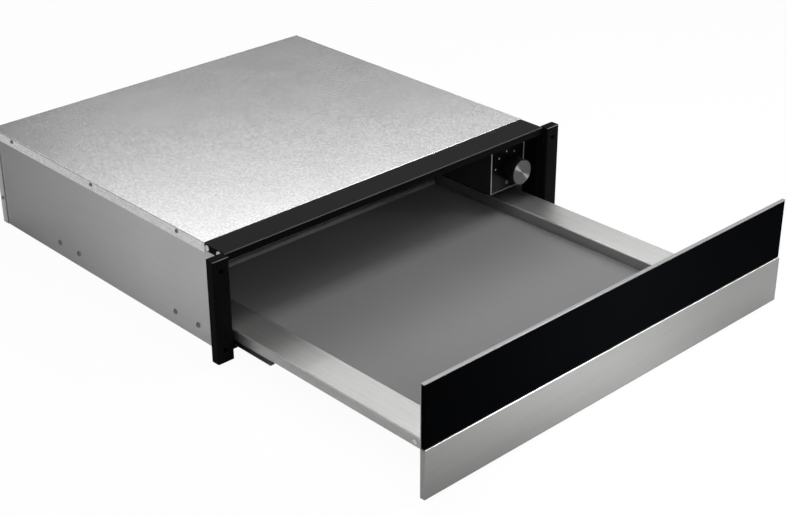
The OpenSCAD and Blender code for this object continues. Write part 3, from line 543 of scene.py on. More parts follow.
def finishedPair(piece, name, node, stands=True):  # a right-hand piece and its mirror image
    other = mirrored(piece)
    finished(piece, name + "Right", node + "_right", stands)
    finished(other, name + "Left", node + "_left", stands)


def newPlane(size=1, place=(0, 0, 0)):
    deselect()
    bpy.ops.mesh.primitive_plane_add(size=size, location=place)
    return bpy.context.active_object


def newBlock(low, high, soft=0.3 * mm, steps=2):  # a block between two corners, its edges rounded
    low, high = Vector(low), Vector(high)
    deselect()
    bpy.ops.mesh.primitive_cube_add(size=1, location=(low + high) / 2)
    piece = bpy.context.active_object
    piece.scale = high - low
    settle(piece)
    return softened(piece, soft, steps) if soft else piece


def turned(place, way, profile, steps=32):
    # a round piece: (radius, height) pairs are built up from a disc, then aimed from its place along its way
    deselect()
    radius, height = profile[0]
    bpy.ops.mesh.primitive_circle_add(
        vertices=steps, radius=radius, location=(0, 0, height), fill_type="NGON")
    piece = bpy.context.active_object
    settle(piece)
    bpy.ops.object.mode_set(mode="EDIT")
    bpy.ops.mesh.select_mode(type="FACE")
    bpy.ops.mesh.select_all(action="SELECT")
    for nextRadius, nextHeight in profile[1:]:
        extrude(0, 0, nextHeight - height)
        bpy.ops.transform.resize(value=(nextRadius / radius, nextRadius / radius, 1))
        radius, height = nextRadius, nextHeight
    bpy.ops.mesh.select_all(action="SELECT")
    bpy.ops.mesh.normals_make_consistent(inside=False)
    deselect()
    piece.matrix_world = Matrix.Translation(place) @ aimed(way)
    return settle(piece)


def rod(place, way, radius, long, steps=32):
    return turned(place, way, [(radius, 0), (radius, long)], steps)


def pin(place, way, radius, long, near, far, steps=32):  # a rod with its two rims cut back
    r = radius
    return turned(place, way, [(r - near, 0), (r, near), (r, long - far), (r - far, long)], steps)


def foldedSheet(along, start, stop, path, sheet, bend=1.0 * mm, steps=3, soft=0.12 * mm):
    # a sheet folded along a path of places on its outer face, with its metal at the right of the path
    run = axes[along]
    first, second = [axes[a] for a in "xyz" if a != along]
    corners = [first * u + second * v for u, v in path]
    leg = corners[1] - corners[0]
    way = leg.normalized()
    piece = newPlane()
    middle = run * (start + stop) / 2 + (corners[0] + corners[1]) / 2
    stand = Matrix((run, way, run.cross(way))).transposed().to_4x4()
    stretch = Matrix.Diagonal((stop - start, leg.length, 1, 1))
    piece.matrix_world = Matrix.Translation(middle) @ stand @ stretch
    settle(piece)

    def onFold(edge, corner):
        return all((v.co - corner - run * (v.co - corner).dot(run)).length < small for v in edge.verts)

    for here, there in zip(corners[1:], corners[2:]):
        edit(piece, "EDGE", lambda edge: onFold(edge, here))
        bpy.ops.mesh.extrude_edges_move(TRANSFORM_OT_translate={"value": there - here})
    rounded(piece, lambda edge: any(onFold(edge, corner) for corner in corners[1:-1]), bend, steps)
    thickened(piece, sheet, 1 if along == "y" else -1)
    return softened(piece, soft, 1, 60) if soft else piece


def slotCutter(low, high, along):  # a block with round ends that cuts a slot through a sheet
    wide = min(high[n] - low[n] for n, a in enumerate("xyz") if a != along)
    return rounded(newBlock(low, high, 0), runsAlong(along), wide * 0.49)


def copies(model, places):  # the model gives way to its copies, one at each place
    made = [copied(model, place) for place in places]
    bpy.data.objects.remove(model)
    return made


def holes(places, way, radius, long):  # round cutters that start at their places, as one piece
    return joined(*copies(rod((0, 0, 0), way, radius, long, 20), places))


def openShell(low, high, bend, sheet):  # a sheet box that is open at the back
    shell = newBlock(low, high, 0)
    edit(shell, "FACE", lambda f: f.normal.y > 0.99)
    bpy.ops.mesh.delete(type="FACE")
    return thickened(rounded(shell, lambda e: not e.is_boundary, bend), sheet)


def pipe(route, radius, bend, faces=2, steps=5):  # a round tube along a route, its corners rounded
    route = [Vector(place) for place in route]
    spots = [route[0]]
    for before, here, after in zip(route, route[1:], route[2:]):
        reach = min(bend, (before - here).length / 2, (after - here).length / 2)
        start = here + (before - here).normalized() * reach
        stop = here + (after - here).normalized() * reach
        for n in range(steps + 1):
            share = n / steps
            spots.append(start * (1 - share) ** 2 + here * 2 * share * (1 - share) + stop * share ** 2)
    spots.append(route[-1])
    deselect()
    bpy.ops.curve.primitive_nurbs_path_add()
    piece = bpy.context.active_object
    piece.data.splines.clear()
    line = piece.data.splines.new("POLY")
    line.points.add(len(spots) - 1)
    for point, spot in zip(line.points, spots):
        point.co = (*spot, 1)
    piece.data.bevel_depth, piece.data.bevel_resolution = radius, faces
    piece.data.use_fill_caps = True
    bpy.ops.object.convert(target="MESH")
    piece = bpy.context.active_object
    edit(piece, "VERT", lambda v: True)
    bpy.ops.mesh.remove_doubles(threshold=small)
    bpy.ops.mesh.normals_make_consistent(inside=False)
    deselect()
    return piece


def newFloor():
    floor = settle(newPlane(studio["floorSize"], (0, 0, -studio["floorDrop"])))
    floor.name = "studioFloor"
    floor.data.materials.append(paleFloor())


# ---- casing

cover = {"notch": 2.2 * mm, "bend": 1.5 * mm, "sheet": 1.0 * mm}


def makeCover():
    low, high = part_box("top_cover")
    piece = newPlane(1, ((low.x + high.x) / 2, (low.y + high.y) / 2, high.z))
    piece.scale = (high.x - low.x, high.y - low.y, 1)
    settle(piece)
    edit(piece, "VERT", lambda v: v.co.y > high.y - small)
    bpy.ops.mesh.bevel(offset=cover["notch"], affect="VERTICES")
    edges = (lambda c: c.x < low.x + small, lambda c: c.x > high.x - small, lambda c: c.y > high.y - small)
    for onEdge in edges:  # the two sides and the back are folded down
        edit(piece, "EDGE", lambda e: all(onEdge(v.co) and v.co.z > high.z - small for v in e.verts))
        bpy.ops.mesh.extrude_edges_move(TRANSFORM_OT_translate={"value": (0, 0, low.z - high.z)})
    rounded(piece, lambda e: all(v.co.z > high.z - small for v in e.verts)
            and any(all(onEdge(v.co) for v in e.verts) for onEdge in edges), cover["bend"])
    finished(softened(thickened(piece, cover["sheet"]), 0.12 * mm, 1, 60), "coverSheet", "top_cover")


casing = {
    "bend": 1.2 * mm, "sheet": 1 * mm, "flangeZ": (6, 133), "notchY": -204.5, "notchZ": 133.8,
    "vents": 9, "ventPitch": 9, "ventX": 240.5, "ventWide": 3, "ventZ": (50, 90),
    "glandX": -175, "glandZ": 10, "glandHole": 6 * mm, "wrapTop": 121.7,
    "postX": 274.5, "postHole": 3.25 * mm,
}
screw = {"faces": 20, "slotWide": 0.2, "slotLong": 0.46, "slotDeep": 0.4, "shank": 1.4 * mm}


def newScrew(place, way, radius, height, shank):  # pan head with a cross recess, shank behind it
    dome = [(radius * math.cos(a), height * (0.12 + 0.88 * math.sin(a))) for a in (0.15, 0.5, 0.85, 1.2)]
    head = turned((0, 0, 0), up, [(radius * 0.96, 0), (radius, height * 0.12)] + dome, screw["faces"])
    wide, long, deep = radius * screw["slotWide"] / 2, radius * screw["slotLong"], height * screw["slotDeep"]
    for a, b in ((wide, long), (long, wide)):
        cutBy(head, newBlock((-a, -b, height - deep), (a, b, height * 2), 0))
    r = screw["shank"]
    stem = turned((0, 0, 0), up, [(r * 0.8, -shank), (r, -shank * 0.7), (r, height * 0.1)], 12)
    piece = joined(head, stem)
    piece.matrix_world = Matrix.Translation(place) @ aimed(way)
    return settle(piece)


def screwSet(places, radius, height, shank):
    # one screw is modelled, and the rest are its copies; a place is a point and the way its head faces
    model = newScrew((0, 0, 0), up, radius, height, shank)
    made = []
    for n, (place, way) in enumerate(places):
        made.append(copied(model, place, aimed(way) @ Matrix.Rotation(0.7 * n + 0.3, 4, "Z")))
    bpy.data.objects.remove(model)
    return joined(*made)


def onSides(x, ys, zs):  # places on both sides, each with the way that it faces
    return [(Vector((side * x, y * mm, z * mm)), way)
            for side, way in ((-1, left), (1, right)) for y in ys for z in zs]


screwPlaces = {
    "coverY": (-162.1, 14.0, 197.1), "coverBackX": (-208.4, 0, 208.4), "coverZ": 131,
    "wrapY": 240.5, "wrapZ": (36.5, 97.4),
    "barY": (-241.2, -220.1), "barZ": 130.5,
    "railY": (-190.7, -146.1, 60.9, 104.6), "railZ": 18.45,
    "slight": (2.6 * mm, 1.6 * mm), "stout": (3.6 * mm, 2 * mm),  # each head's radius and height
}


def makeScrews():
    outX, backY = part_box("top_cover")[1].x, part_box("top_cover")[1].y
    w = screwPlaces
    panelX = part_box("base_plate")[1].x + casing["sheet"]
    onCover = onSides(outX, w["coverY"], (w["coverZ"],))
    onCover += [(Vector((x * mm, backY, w["coverZ"] * mm)), back) for x in w["coverBackX"]]
    for name, of, places, head, shank in (
            ("coverScrews", "cover_screws", onCover, "slight", 2),
            ("backScrews", "back_screws", onSides(outX, (w["wrapY"],), w["wrapZ"]), "slight", 3),
            ("topBarScrews", "top_bar_screws", onSides(outX, w["barY"], (w["barZ"],)), "stout", 2),
            ("runnerScrews", "runner_screws", onSides(panelX, w["railY"], (w["railZ"],)), "stout", 6)):
        finished(screwSet(places, *w[head], shank * mm), name, of)


makeCover()
makeScrews()
print("casing: cover and screws")

# ---- front frame

topBar = {"bend": 1.4 * mm, "sheet": 1.2 * mm, "endThick": 1.0 * mm, "endY": (-246.2, -215.1), "endLow": 126,
          "tuckIn": 1.3 * mm, "rubbed": 0.22, "topLighter": 0.038}


def makeTopBar():
    low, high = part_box("frame_top_bar")
    path = [(low.y, low.z), (low.y, high.z), (high.y, high.z)]
    bar = foldedSheet("x", low.x, high.x, path, topBar["sheet"], topBar["bend"], 5, 0.2 * mm)
    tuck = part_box("top_cover")[0].y  # behind this line the bar lies under the cover, between the side panels
    y0, y1 = (y * mm for y in topBar["endY"])
    for side in (-1, 1):
        a, b = sorted((side * (high.x - topBar["tuckIn"]), side * (high.x + clear)))
        cutBy(bar, newBlock((a, tuck - 0.01 * mm, low.z), (b, high.y + clear, high.z + clear), 0))
        a, b = sorted((side * high.x, side * (high.x - topBar["endThick"])))
        end = newBlock((a, y0, topBar["endLow"] * mm), (b, y1, high.z - topBar["sheet"]), 0.3 * mm)
        bar = joined(bar, end)
    # painted highlight along the bar's front top edge; its upper faces are also lightened a little
    finished(paintedHighlightEdge(bar, high.z, topBar["rubbed"], level=topBar["topLighter"]), "topBar", "frame_top_bar")


post = {"round": 2 * mm, "wall": 2 * mm, "deep": 11 * mm, "holeZ": (19.5, 119.5), "hole": 2.25 * mm,
        "sink": 3.6 * mm, "boss": 4.25 * mm, "through": 20 * mm, "rubbed": 1.0}


def makePosts():
    low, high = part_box("frame_post_right")
    piece = rounded(newBlock(low, high, 0), runsAlong("z"), post["round"], 5)
    edit(piece, "FACE", lambda f: f.normal.y > 0.99)
    bpy.ops.mesh.inset(thickness=post["wall"])
    extrude(0, -post["deep"], 0)
    deselect()
    softened(piece, 0.35 * mm, 2, 60)
    bosses = []
    for z in post["holeZ"]:
        place = Vector(((low.x + high.x) / 2, low.y, z * mm))
        sunk = [(post["sink"] + 0.6 * mm, -0.6 * mm), (post["hole"], 2 * mm), (post["hole"], post["through"])]
        cutBy(piece, turned(place, back, sunk))
        inner = place + Vector((0, high.y - low.y - post["deep"], 0))
        boss = rod(inner, back, post["boss"], post["deep"] - 0.2 * mm)
        bosses.append(cutBy(boss, rod(place, back, post["hole"], post["through"])))
    # painted highlight along the posts' front top edges
    finishedPair(paintedHighlightEdge(joined(piece, *bosses), high.z, post["rubbed"]), "post", "frame_post")


lowBar = {"sheet": 1 * mm, "bend": 0.9 * mm, "backLow": 1 * mm}


def makeBottomBar():
    low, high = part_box("frame_bottom_bar")
    path = [(low.y, low.z), (low.y, high.z), (high.y, high.z), (high.y, low.z + lowBar["backLow"])]
    bar = foldedSheet("x", low.x, high.x, path, lowBar["sheet"], lowBar["bend"])
    finished(bar, "bottomBar", "frame_bottom_bar")


liner = {"thick": 0.5 * mm, "ahead": 0.8 * mm, "depthTo": -222.5, "z": (8, 124.5)}


def makeLiners():  # black sheets along the front of the side panels' inner faces
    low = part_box("side_panel_right")[0]
    z0, z1 = (z * mm for z in liner["z"])
    x, y = low.x - liner["thick"], low.y - liner["ahead"]
    path = [(low.x + 3 * mm, y), (x, y), (x, liner["depthTo"] * mm)]
    piece = foldedSheet("z", z0, z1, path, liner["thick"], liner["ahead"], 3, 0)
    finishedPair(piece, "frameReturn", "frame_post", stands=False)


makeTopBar()
makePosts()
makeLiners()
makeBottomBar()
print("front frame: top bar, two posts, bottom bar")

# ---- control

facia = {
    "soft": 0.6 * mm, "lineLeft": 1.6 * mm, "lineThin": 0.7 * mm, "lineRight": 1.3 * mm,
    "dotTurns": (175, 135, 95, 55, 15, -25), "dotReach": 22.5 * mm,
    "dot": 1.25 * mm, "dotProud": 0.2 * mm, "ringOuter": 2.4 * mm, "ringInner": 1.6 * mm, "hole": 4 * mm,
}


def makeFacia():
    low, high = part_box("control_facia")
    plate = newBlock(low, high, facia["soft"], 3)
    knobX, knobZ = knob["x"] * mm, knob["z"] * mm
    cutBy(plate, rod((knobX, low.y - clear, knobZ), back, facia["hole"], 5 * mm))
    finished(plate, "faciaPlate", "control_facia")
    a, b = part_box("facia_trim")
    x0, x1, thin = a.x + facia["lineLeft"], b.x - facia["lineRight"], facia["lineThin"]
    bars = [newBlock((p, a.y, a.z), (q, b.y, b.z), 0.2 * mm) for p, q in ((a.x, x0), (x1, b.x))]
    bars += [newBlock((x0, a.y + 0.2 * mm, p), (x1, b.y, q), 0.15 * mm)
             for p, q in ((a.z, a.z + thin), (b.z - thin, b.z))]
    finished(joined(*bars), "faciaOutline", "facia_trim")
    marks = []
    dot, proud, inner, outer = (facia[key] for key in ("dot", "dotProud", "ringInner", "ringOuter"))
    for turn in facia["dotTurns"]:
        reach = Vector((math.cos(math.radians(turn)), 0, math.sin(math.radians(turn)))) * facia["dotReach"]
        marks.append(turned(Vector((knobX, low.y, knobZ)) + reach, front,
                            [(dot, -0.1 * mm), (dot, proud * 0.5), (dot * 0.7, proud)], 16))
    ringPlace = Vector((knobX, low.y, knobZ - facia["dotReach"]))
    marks.append(turned(ringPlace, front, [
        (inner, -0.1 * mm), (outer, -0.05 * mm), (outer, proud), (inner, proud), (inner * 0.98, 0)], 24))
    finished(joined(*marks), "faciaMarks", "facia_trim", stands=False)


knob = {
    "x": 228.5, "z": 80, "front": -250, "backY": -223.9, "radius": 17.5 * mm, "capRadius": 16.6 * mm,
    "flutes": 60, "fluteDeep": 0.35 * mm, "rings": 9,
}


def makeKnob():
    k = knob
    place = Vector((k["x"] * mm, k["backY"] * mm, k["z"] * mm))
    tall, r = (k["backY"] - k["front"]) * mm, k["radius"]
    rim = k["capRadius"] + 0.1 * mm
    body = turned(place, front, [
        (r - 1.5 * mm, 0), (r - 1.2 * mm, 1.2 * mm), (r - 0.9 * mm, tall * 0.3), (r - 0.15 * mm, tall * 0.66),
        (r, tall * 0.72), (r, tall - 0.6 * mm), (r - 0.3 * mm, tall - 0.1 * mm), (rim + 0.2 * mm, tall),
        (rim, tall - 0.1 * mm), (rim, tall - 1.1 * mm), (4 * mm, tall - 1.2 * mm)], k["flutes"] * 2)

    def fluted(face):
        away = face.calc_center_median() - place
        around = math.atan2(away.z, away.x) / (2 * math.pi) * k["flutes"] * 2
        onSide = abs(face.normal.y) < 0.5 and math.hypot(away.x, away.z) > 10 * mm
        return onSide and 1 * mm < -away.y < tall * 0.7 and math.floor(around) % 2 == 0

    edit(body, "FACE", fluted)
    bpy.ops.mesh.inset(thickness=0.12 * mm, depth=-k["fluteDeep"])
    deselect()
    finished(body, "knobGrip", "knob_body", angle=30)
    face = place + Vector((0, -tall, 0))
    grooves = []
    for n in range(k["rings"]):
        ring = k["capRadius"] * (0.9 - 0.09 * n)
        grooves += [(ring, 0.0), (ring - 0.25 * mm, -0.06 * mm), (ring - 0.5 * mm, 0.0)]
    r = k["capRadius"]
    side = [(r - 0.1 * mm, -1 * mm), (r, -0.9 * mm), (r, -0.2 * mm), (r - 0.2 * mm, 0.0)]
    cap = turned(face, front, side + grooves, 96)
    finished(cap, "knobFace", "knob_cap", angle=20)


makeFacia()
makeKnob()
print("control: facia, outline, marks, knob")

# ---- drawer

tray = {"bend": 2.6 * mm, "sheet": 1 * mm, "wall": 212, "ledgeTop": 37, "floorTop": 20.5, "rearTop": 27.5,
        "skirt": 4.5 * mm, "rubbed": 0.7}


def makeTray():
    low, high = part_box("drawer_tray")
    wall, top, floor, rear = (tray[key] * mm for key in ("wall", "ledgeTop", "floorTop", "rearTop"))
    sheet, foot = tray["sheet"], low.z + tray["skirt"]
    path = [(low.x, foot), (low.x, top), (-wall, top), (-wall, floor), (wall, floor), (wall, top),
            (high.x, top), (high.x, foot)]
    body = foldedSheet("y", low.y, high.y, path, sheet, tray["bend"], 5)
    frontWall = newBlock((-wall, low.y, floor - 0.5 * mm), (wall, low.y + sheet, top), 0.4 * mm)
    rearWall = newBlock((-wall, high.y - sheet, floor - 0.5 * mm), (wall, high.y, rear), 0.4 * mm)
    # painted highlight on the rounded edges at the ledge tops that face left
    pan = paintedHighlightEdge(joined(body, frontWall, rearWall), top, tray["rubbed"], "x")
    finished(pan, "trayPan", "drawer_tray")


# the mat's rear edge turns up along the tray, as a lip
mat = {"corner": 6 * mm, "rim": 0.9 * mm,
       "lipSide": 2 * mm, "lipThick": 6 * mm, "lipTop": 27.3 * mm, "lipCove": 4.6 * mm}


def makeMat():
    low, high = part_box("anti_slip_mat")
    piece = rounded(newBlock(low, high, 0), runsAlong("z"), mat["corner"], 6)
    edit(piece, "FACE", lambda f: f.normal.z > 0.99)
    bpy.ops.mesh.inset(thickness=mat["rim"])
    deselect()
    lipFront = high.y - mat["lipThick"]
    lip = newBlock((low.x + mat["lipSide"], lipFront, low.z + 0.5 * mm),
                   (high.x - mat["lipSide"], high.y, mat["lipTop"]), 0)
    rounded(lip, lambda e: all(v.co.y < lipFront + small and v.co.z > high.z for v in e.verts),
            mat["lipCove"])
    finished(joined(softened(piece, 0.5 * mm, 3, 60), lip), "slipMat", "anti_slip_mat")


glass = {"edge": 0.45 * mm}
strip = {"bend": 0.9 * mm, "sheet": 1 * mm, "rubbed": 1.0}
backing = {"bend": 0.9 * mm, "sheet": 1 * mm}


def makeFrontPanel():
    low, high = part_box("glass_front")
    finished(newBlock(low, high, glass["edge"], 2), "frontGlass", "glass_front")
    low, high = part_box("steel_front")
    shell = softened(openShell(low, high, strip["bend"], strip["sheet"]), 0.1 * mm, 1, 60)
    # painted highlight along the strip's front top edge
    finished(paintedHighlightEdge(shell, high.z, strip["rubbed"]), "frontStrip", "steel_front")
    low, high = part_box("panel_backing")
    path = [(low.y, high.z), (high.y, high.z), (high.y, low.z)]
    sheet = foldedSheet("x", low.x, high.x, path, backing["sheet"], backing["bend"], 4)
    finished(sheet, "panelBack", "panel_backing")


makeTray()
makeMat()
makeFrontPanel()
print("drawer: tray, mat, glass, strip, backing")

# ---- casing sheets


def makeCasingSheets():
    c, t = casing, casing["sheet"]
    low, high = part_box("base_plate")
    path = [(high.x, high.z), (high.x, low.z), (low.x, low.z), (low.x, high.z)]
    finished(foldedSheet("y", low.y, high.y, path, t, c["bend"]), "basePlate", "base_plate")
    low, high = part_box("side_panel_right")
    sheet = foldedSheet("z", low.z, high.z, [(high.x, low.y), (low.x, low.y), (low.x, high.y)], t, c["bend"])
    flangeLow, flangeTop = (z * mm for z in c["flangeZ"])
    out, over = 2 * mm, high.z + clear
    cutBy(sheet, newBlock((low.x + t, low.y - out, -out), (high.x + out, low.y + out, flangeLow), 0),
          newBlock((low.x + t, low.y - out, flangeTop), (high.x + out, low.y + out, over), 0),
          newBlock((low.x - out, low.y - out, c["notchZ"] * mm), (high.x + out, c["notchY"] * mm, over), 0),
          holes([(c["postX"] * mm, low.y - out, z * mm) for z in post["holeZ"]], back, c["postHole"], 4 * mm))
    finishedPair(sheet, "sidePanel", "side_panel")
    low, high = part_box("back_panel")
    path = [(low.x, low.y), (low.x, high.y), (high.x, high.y), (high.x, low.y)]
    sheet = foldedSheet("z", low.z, high.z, path, t, c["bend"])
    for side in (-1, 1):
        a, b = sorted((side * (high.x - t), side * (high.x + out)))
        cutBy(sheet, newBlock((a, low.y - out, c["wrapTop"] * mm), (b, high.y + out, over), 0))
    zs = [z * mm for z in c["ventZ"]]
    vent = slotCutter((0, high.y - out, zs[0]), (c["ventWide"] * mm, high.y + out, zs[1]), "y")
    lefts = [c["ventX"] - n * c["ventPitch"] for n in range(c["vents"])]
    cuts = copies(vent, [(x * mm, 0, 0) for x in lefts + [-x - c["ventWide"] for x in lefts]])
    glandPlace = (c["glandX"] * mm, high.y - out, c["glandZ"] * mm)
    cutBy(sheet, joined(*cuts), holes([glandPlace], back, c["glandHole"], 4 * mm))
    finished(sheet, "backPanel", "back_panel")


makeCasingSheets()
print("casing: base, sides, back")

# ---- runners

runner = {
    "sheet": 1 * mm, "bend": 0.9 * mm, "slotY": (90, 170, 330), "slotZ": (5, 9), "slotLong": 14 * mm,
    "studX": (255.5, 260.5), "studRadius": 3.6 * mm, "screwHole": 1.55 * mm,
    "gaps": ((245.5, 11.5, 17.5), (245.5, 18.5, 26), (245.5, 27, 31.5)),
    "ballX": 248.55 * mm, "ball": 1.2 * mm, "window": 1.45 * mm, "balls": 6, "cageSheet": 0.5 * mm,
}


def makeRunners():
    r, t = runner, runner["sheet"]
    low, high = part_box("runner_outer_right")
    web = r["studX"][0] * mm
    path = [(low.x, high.z), (web, high.z), (web, low.z), (low.x, low.z)]
    rail = foldedSheet("y", low.y, high.y, path, t, r["bend"])
    places = [(r["studX"][0] * mm, y * mm, screwPlaces["railZ"] * mm) for y in screwPlaces["railY"]]
    cutBy(rail, holes([(x - 3 * mm, y, z) for x, y, z in places], right, r["screwHole"], 6 * mm))
    z0, z1 = (low.z + z * mm for z in r["slotZ"])
    for y in r["slotY"]:
        start = low.y + y * mm
        cutBy(rail, slotCutter((web - 3 * mm, start, z0), (web + clear, start + r["slotLong"], z1), "x"))
    long = (r["studX"][1] - r["studX"][0]) * mm
    stud = cutBy(pin((0, 0, 0), right, r["studRadius"], long, 0.3 * mm, 0.3 * mm),
                 rod((-clear, 0, 0), right, r["screwHole"], long + 2 * clear))
    finishedPair(joined(rail, *copies(stud, places)), "fixedRail", "runner_outer")
    low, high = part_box("runner_middle_right")
    rail = newBlock(low, high, 0)
    for x, z0, z1 in r["gaps"]:
        cutBy(rail, newBlock((x * mm, low.y - clear, z0 * mm), (high.x + clear, high.y + clear, z1 * mm), 0))
    finishedPair(softened(rail, 0.22 * mm, 2), "middleRail", "runner_middle")
    low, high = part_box("runner_inner_right")
    path = [(low.x, high.z), (high.x, high.z), (high.x, low.z), (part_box("runner_outer_right")[0].x, low.z)]
    finishedPair(foldedSheet("y", low.y, high.y, path, t, r["bend"]), "drawerRail", "runner_inner")
    for level in ("lower", "upper"):
        makeCage(level)


def makeCage(level):
    r = runner
    low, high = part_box("ball_cage_" + level + "_right")
    rows = (low.z + r["ball"], high.z - r["ball"])
    z0, z1 = rows[0] - r["cageSheet"] / 2, rows[1] + r["cageSheet"] / 2
    path = [(low.x, z1), (high.x, z1), (high.x, z0), (low.x, z0)]
    cage = foldedSheet("y", low.y, high.y, path, r["cageSheet"], 0.4 * mm, 2, 0)
    pitch = (high.y - low.y) / r["balls"]
    ys = [low.y + (n + 0.5) * pitch for n in range(r["balls"])]
    under = [(r["ballX"], y, low.z - 2 * mm) for y in ys]
    cutBy(cage, holes(under, up, r["window"], high.z - low.z + 4 * mm))
    deselect()
    bpy.ops.mesh.primitive_uv_sphere_add(segments=14, ring_count=8, radius=r["ball"])
    balls = copies(bpy.context.active_object, [(r["ballX"], y, z) for z in rows for y in ys])
    finishedPair(joined(cage, *balls), level + "Cage", "ball_cage_" + level)


makeRunners()
print("runners: rails, cages and balls")

# ---- inside the control box

box = {"sheet": 1 * mm, "bend": 1 * mm, "flange": 12 * mm, "hangY": -203.6, "wallTop": 133.5,
       "tubeX": 240.5, "tubeZ": 120, "tubeHole": 1.3 * mm, "ventZ": range(70, 106, 7)}


def makeControlBox():
    b, t = box, box["sheet"]
    low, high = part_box("control_box")
    path = [(high.x, low.z), (low.x, low.z), (low.x, high.z), (low.x + b["flange"], high.z)]
    shell = foldedSheet("y", low.y, high.y, path, t, b["bend"])
    top = b["wallTop"] * mm
    cutBy(shell, newBlock((low.x - t, low.y - t, top), (high.x, b["hangY"] * mm, high.z + t), 0))
    end = newBlock((low.x + t, high.y - t, low.z + t), (high.x, high.y, top), 0.2 * mm)
    cutBy(end, holes([(b["tubeX"] * mm, high.y - 3 * mm, b["tubeZ"] * mm)], back, b["tubeHole"], 6 * mm))
    x0, x1, y0, y1 = low.x + 10 * mm, low.x + 34 * mm, high.y - 3 * mm, high.y + 2 * mm
    vents = [slotCutter((x0, y0, z * mm), (x1, y1, (z + 3) * mm), "y") for z in b["ventZ"]]
    cutBy(end, joined(*vents))
    finished(joined(shell, end), "controlBox", "control_box")


thermostat = {"deep": 26 * mm, "soft": 1.6 * mm, "steps": ((3, -2), (4, 1.6)), "bore": 3.1 * mm,
              "tabWide": 4 * mm, "tabThick": 0.8 * mm, "tabAt": (-0.25, 0.25)}


def makeThermostat():
    low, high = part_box("thermostat_body")
    tail = low.y + thermostat["deep"]
    body = newBlock(low, (high.x, tail, high.z), thermostat["soft"], 3)
    edit(body, "FACE", lambda f: f.normal.y > 0.99)
    for inset, move in thermostat["steps"]:  # a recess in its rear face with a raised middle
        bpy.ops.mesh.inset(thickness=inset * mm)
        extrude(0, move * mm, 0)
    deselect()
    middle = (low + high) / 2
    cutBy(body, rod((middle.x, low.y - 1 * mm, middle.z), back, thermostat["bore"], 22 * mm))
    tabs = []
    for share in thermostat["tabAt"]:
        x = middle.x + share * (high.x - low.x)
        tab = newBlock((x - thermostat["tabWide"] / 2, tail - 2 * mm, middle.z - thermostat["tabThick"]),
                       (x + thermostat["tabWide"] / 2, high.y, middle.z), 0.2 * mm, 1)
        tabs.append(cutBy(tab, holes([(x, high.y - 2.4 * mm, middle.z - 2 * mm)], up, 0.8 * mm, 4 * mm)))
    finished(joined(body, *tabs), "thermostat", "thermostat_body")
    low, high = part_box("knob_shaft")
    axis = (low + high) / 2
    shaft = pin((axis.x, high.y, axis.z), front, (high.x - low.x) / 2, high.y - low.y, 0.4 * mm, 0.5 * mm, 28)
    flat = high.z - 1.4 * mm  # the knob grips the spindle by its flat
    cutBy(shaft, newBlock((low.x, low.y - clear, flat), (high.x, low.y + 14 * mm, high.z + clear), 0))
    finished(shaft, "knobSpindle", "knob_shaft")


tubes = {
    "capillary": 1 * mm, "bulb": 3 * mm, "bulbX": (63.7, 118.7), "bulbY": 215.5, "bulbZ": 120,
    "capillaryRoute": ((228.5, -195, 88.5), (228.5, -185, 88.5), (240.5, -185, 88.5), (240.5, -185, 120),
                       (240.5, 215.5, 120), (118, 215.5, 120)),
    "loomRoute": ((-152, 229.5, 10), (-152, 243.2, 10), (-152, 243.2, 131.5), (246.5, 243.2, 131.5),
                  (246.5, -80, 131.5)),
    "fanRoute": ((0, 243.2, 128), (0, 243.2, 131.5), (6, 243.2, 131.5)),
    "strand": 0.95 * mm, "apart": 1 * mm,
}


def makeTubes():
    t = tubes
    tube = pipe([Vector(place) * mm for place in t["capillaryRoute"]], t["capillary"], 6 * mm)
    x0, x1 = (x * mm for x in t["bulbX"])
    r, long = t["bulb"], x1 - x0
    bulb = turned((x1, t["bulbY"] * mm, t["bulbZ"] * mm), left, [
        (1.1 * mm, 0), (1.3 * mm, 1.5 * mm), (r, 3.5 * mm), (r, long - 3 * mm), (r * 0.86, long - 1.4 * mm),
        (r * 0.5, long - 0.3 * mm), (r * 0.3, long)], 24)
    finished(joined(tube, bulb), "capillaryTube", "capillary_tube")
    strands = []
    for way in ((1, -0.5, -0.5), (-0.5, 1, -0.5), (-0.5, -0.5, 1)):
        route = [Vector(place) * mm + Vector(way) * t["apart"] for place in t["loomRoute"]]
        strands.append(pipe(route, t["strand"], 7 * mm))
    strands.append(pipe([Vector(place) * mm for place in t["fanRoute"]], t["strand"] * 1.2, 2 * mm))
    finished(joined(*strands), "wiringLoom", "wiring_loom")


makeControlBox()
makeThermostat()
makeTubes()
print("control: box, thermostat, tube and wires")

# ---- heater and fan

heater = {
    "sheet": 1 * mm, "round": 3 * mm, "intake": 31 * mm, "fanZ": 86, "outletX": (66, 108), "outlets": 6,
    "outletFirst": 52, "outletStep": 11.333, "outletHigh": 5, "tubeY": 215.5, "tubeZ": 120,
    "guardRadius": 36 * mm, "guardSlot": 3, "guardPitch": 6, "guardRows": 4,
    "ringRadius": 37, "ringY": 212.5, "rod": 3 * mm, "legTurn": 20,
}


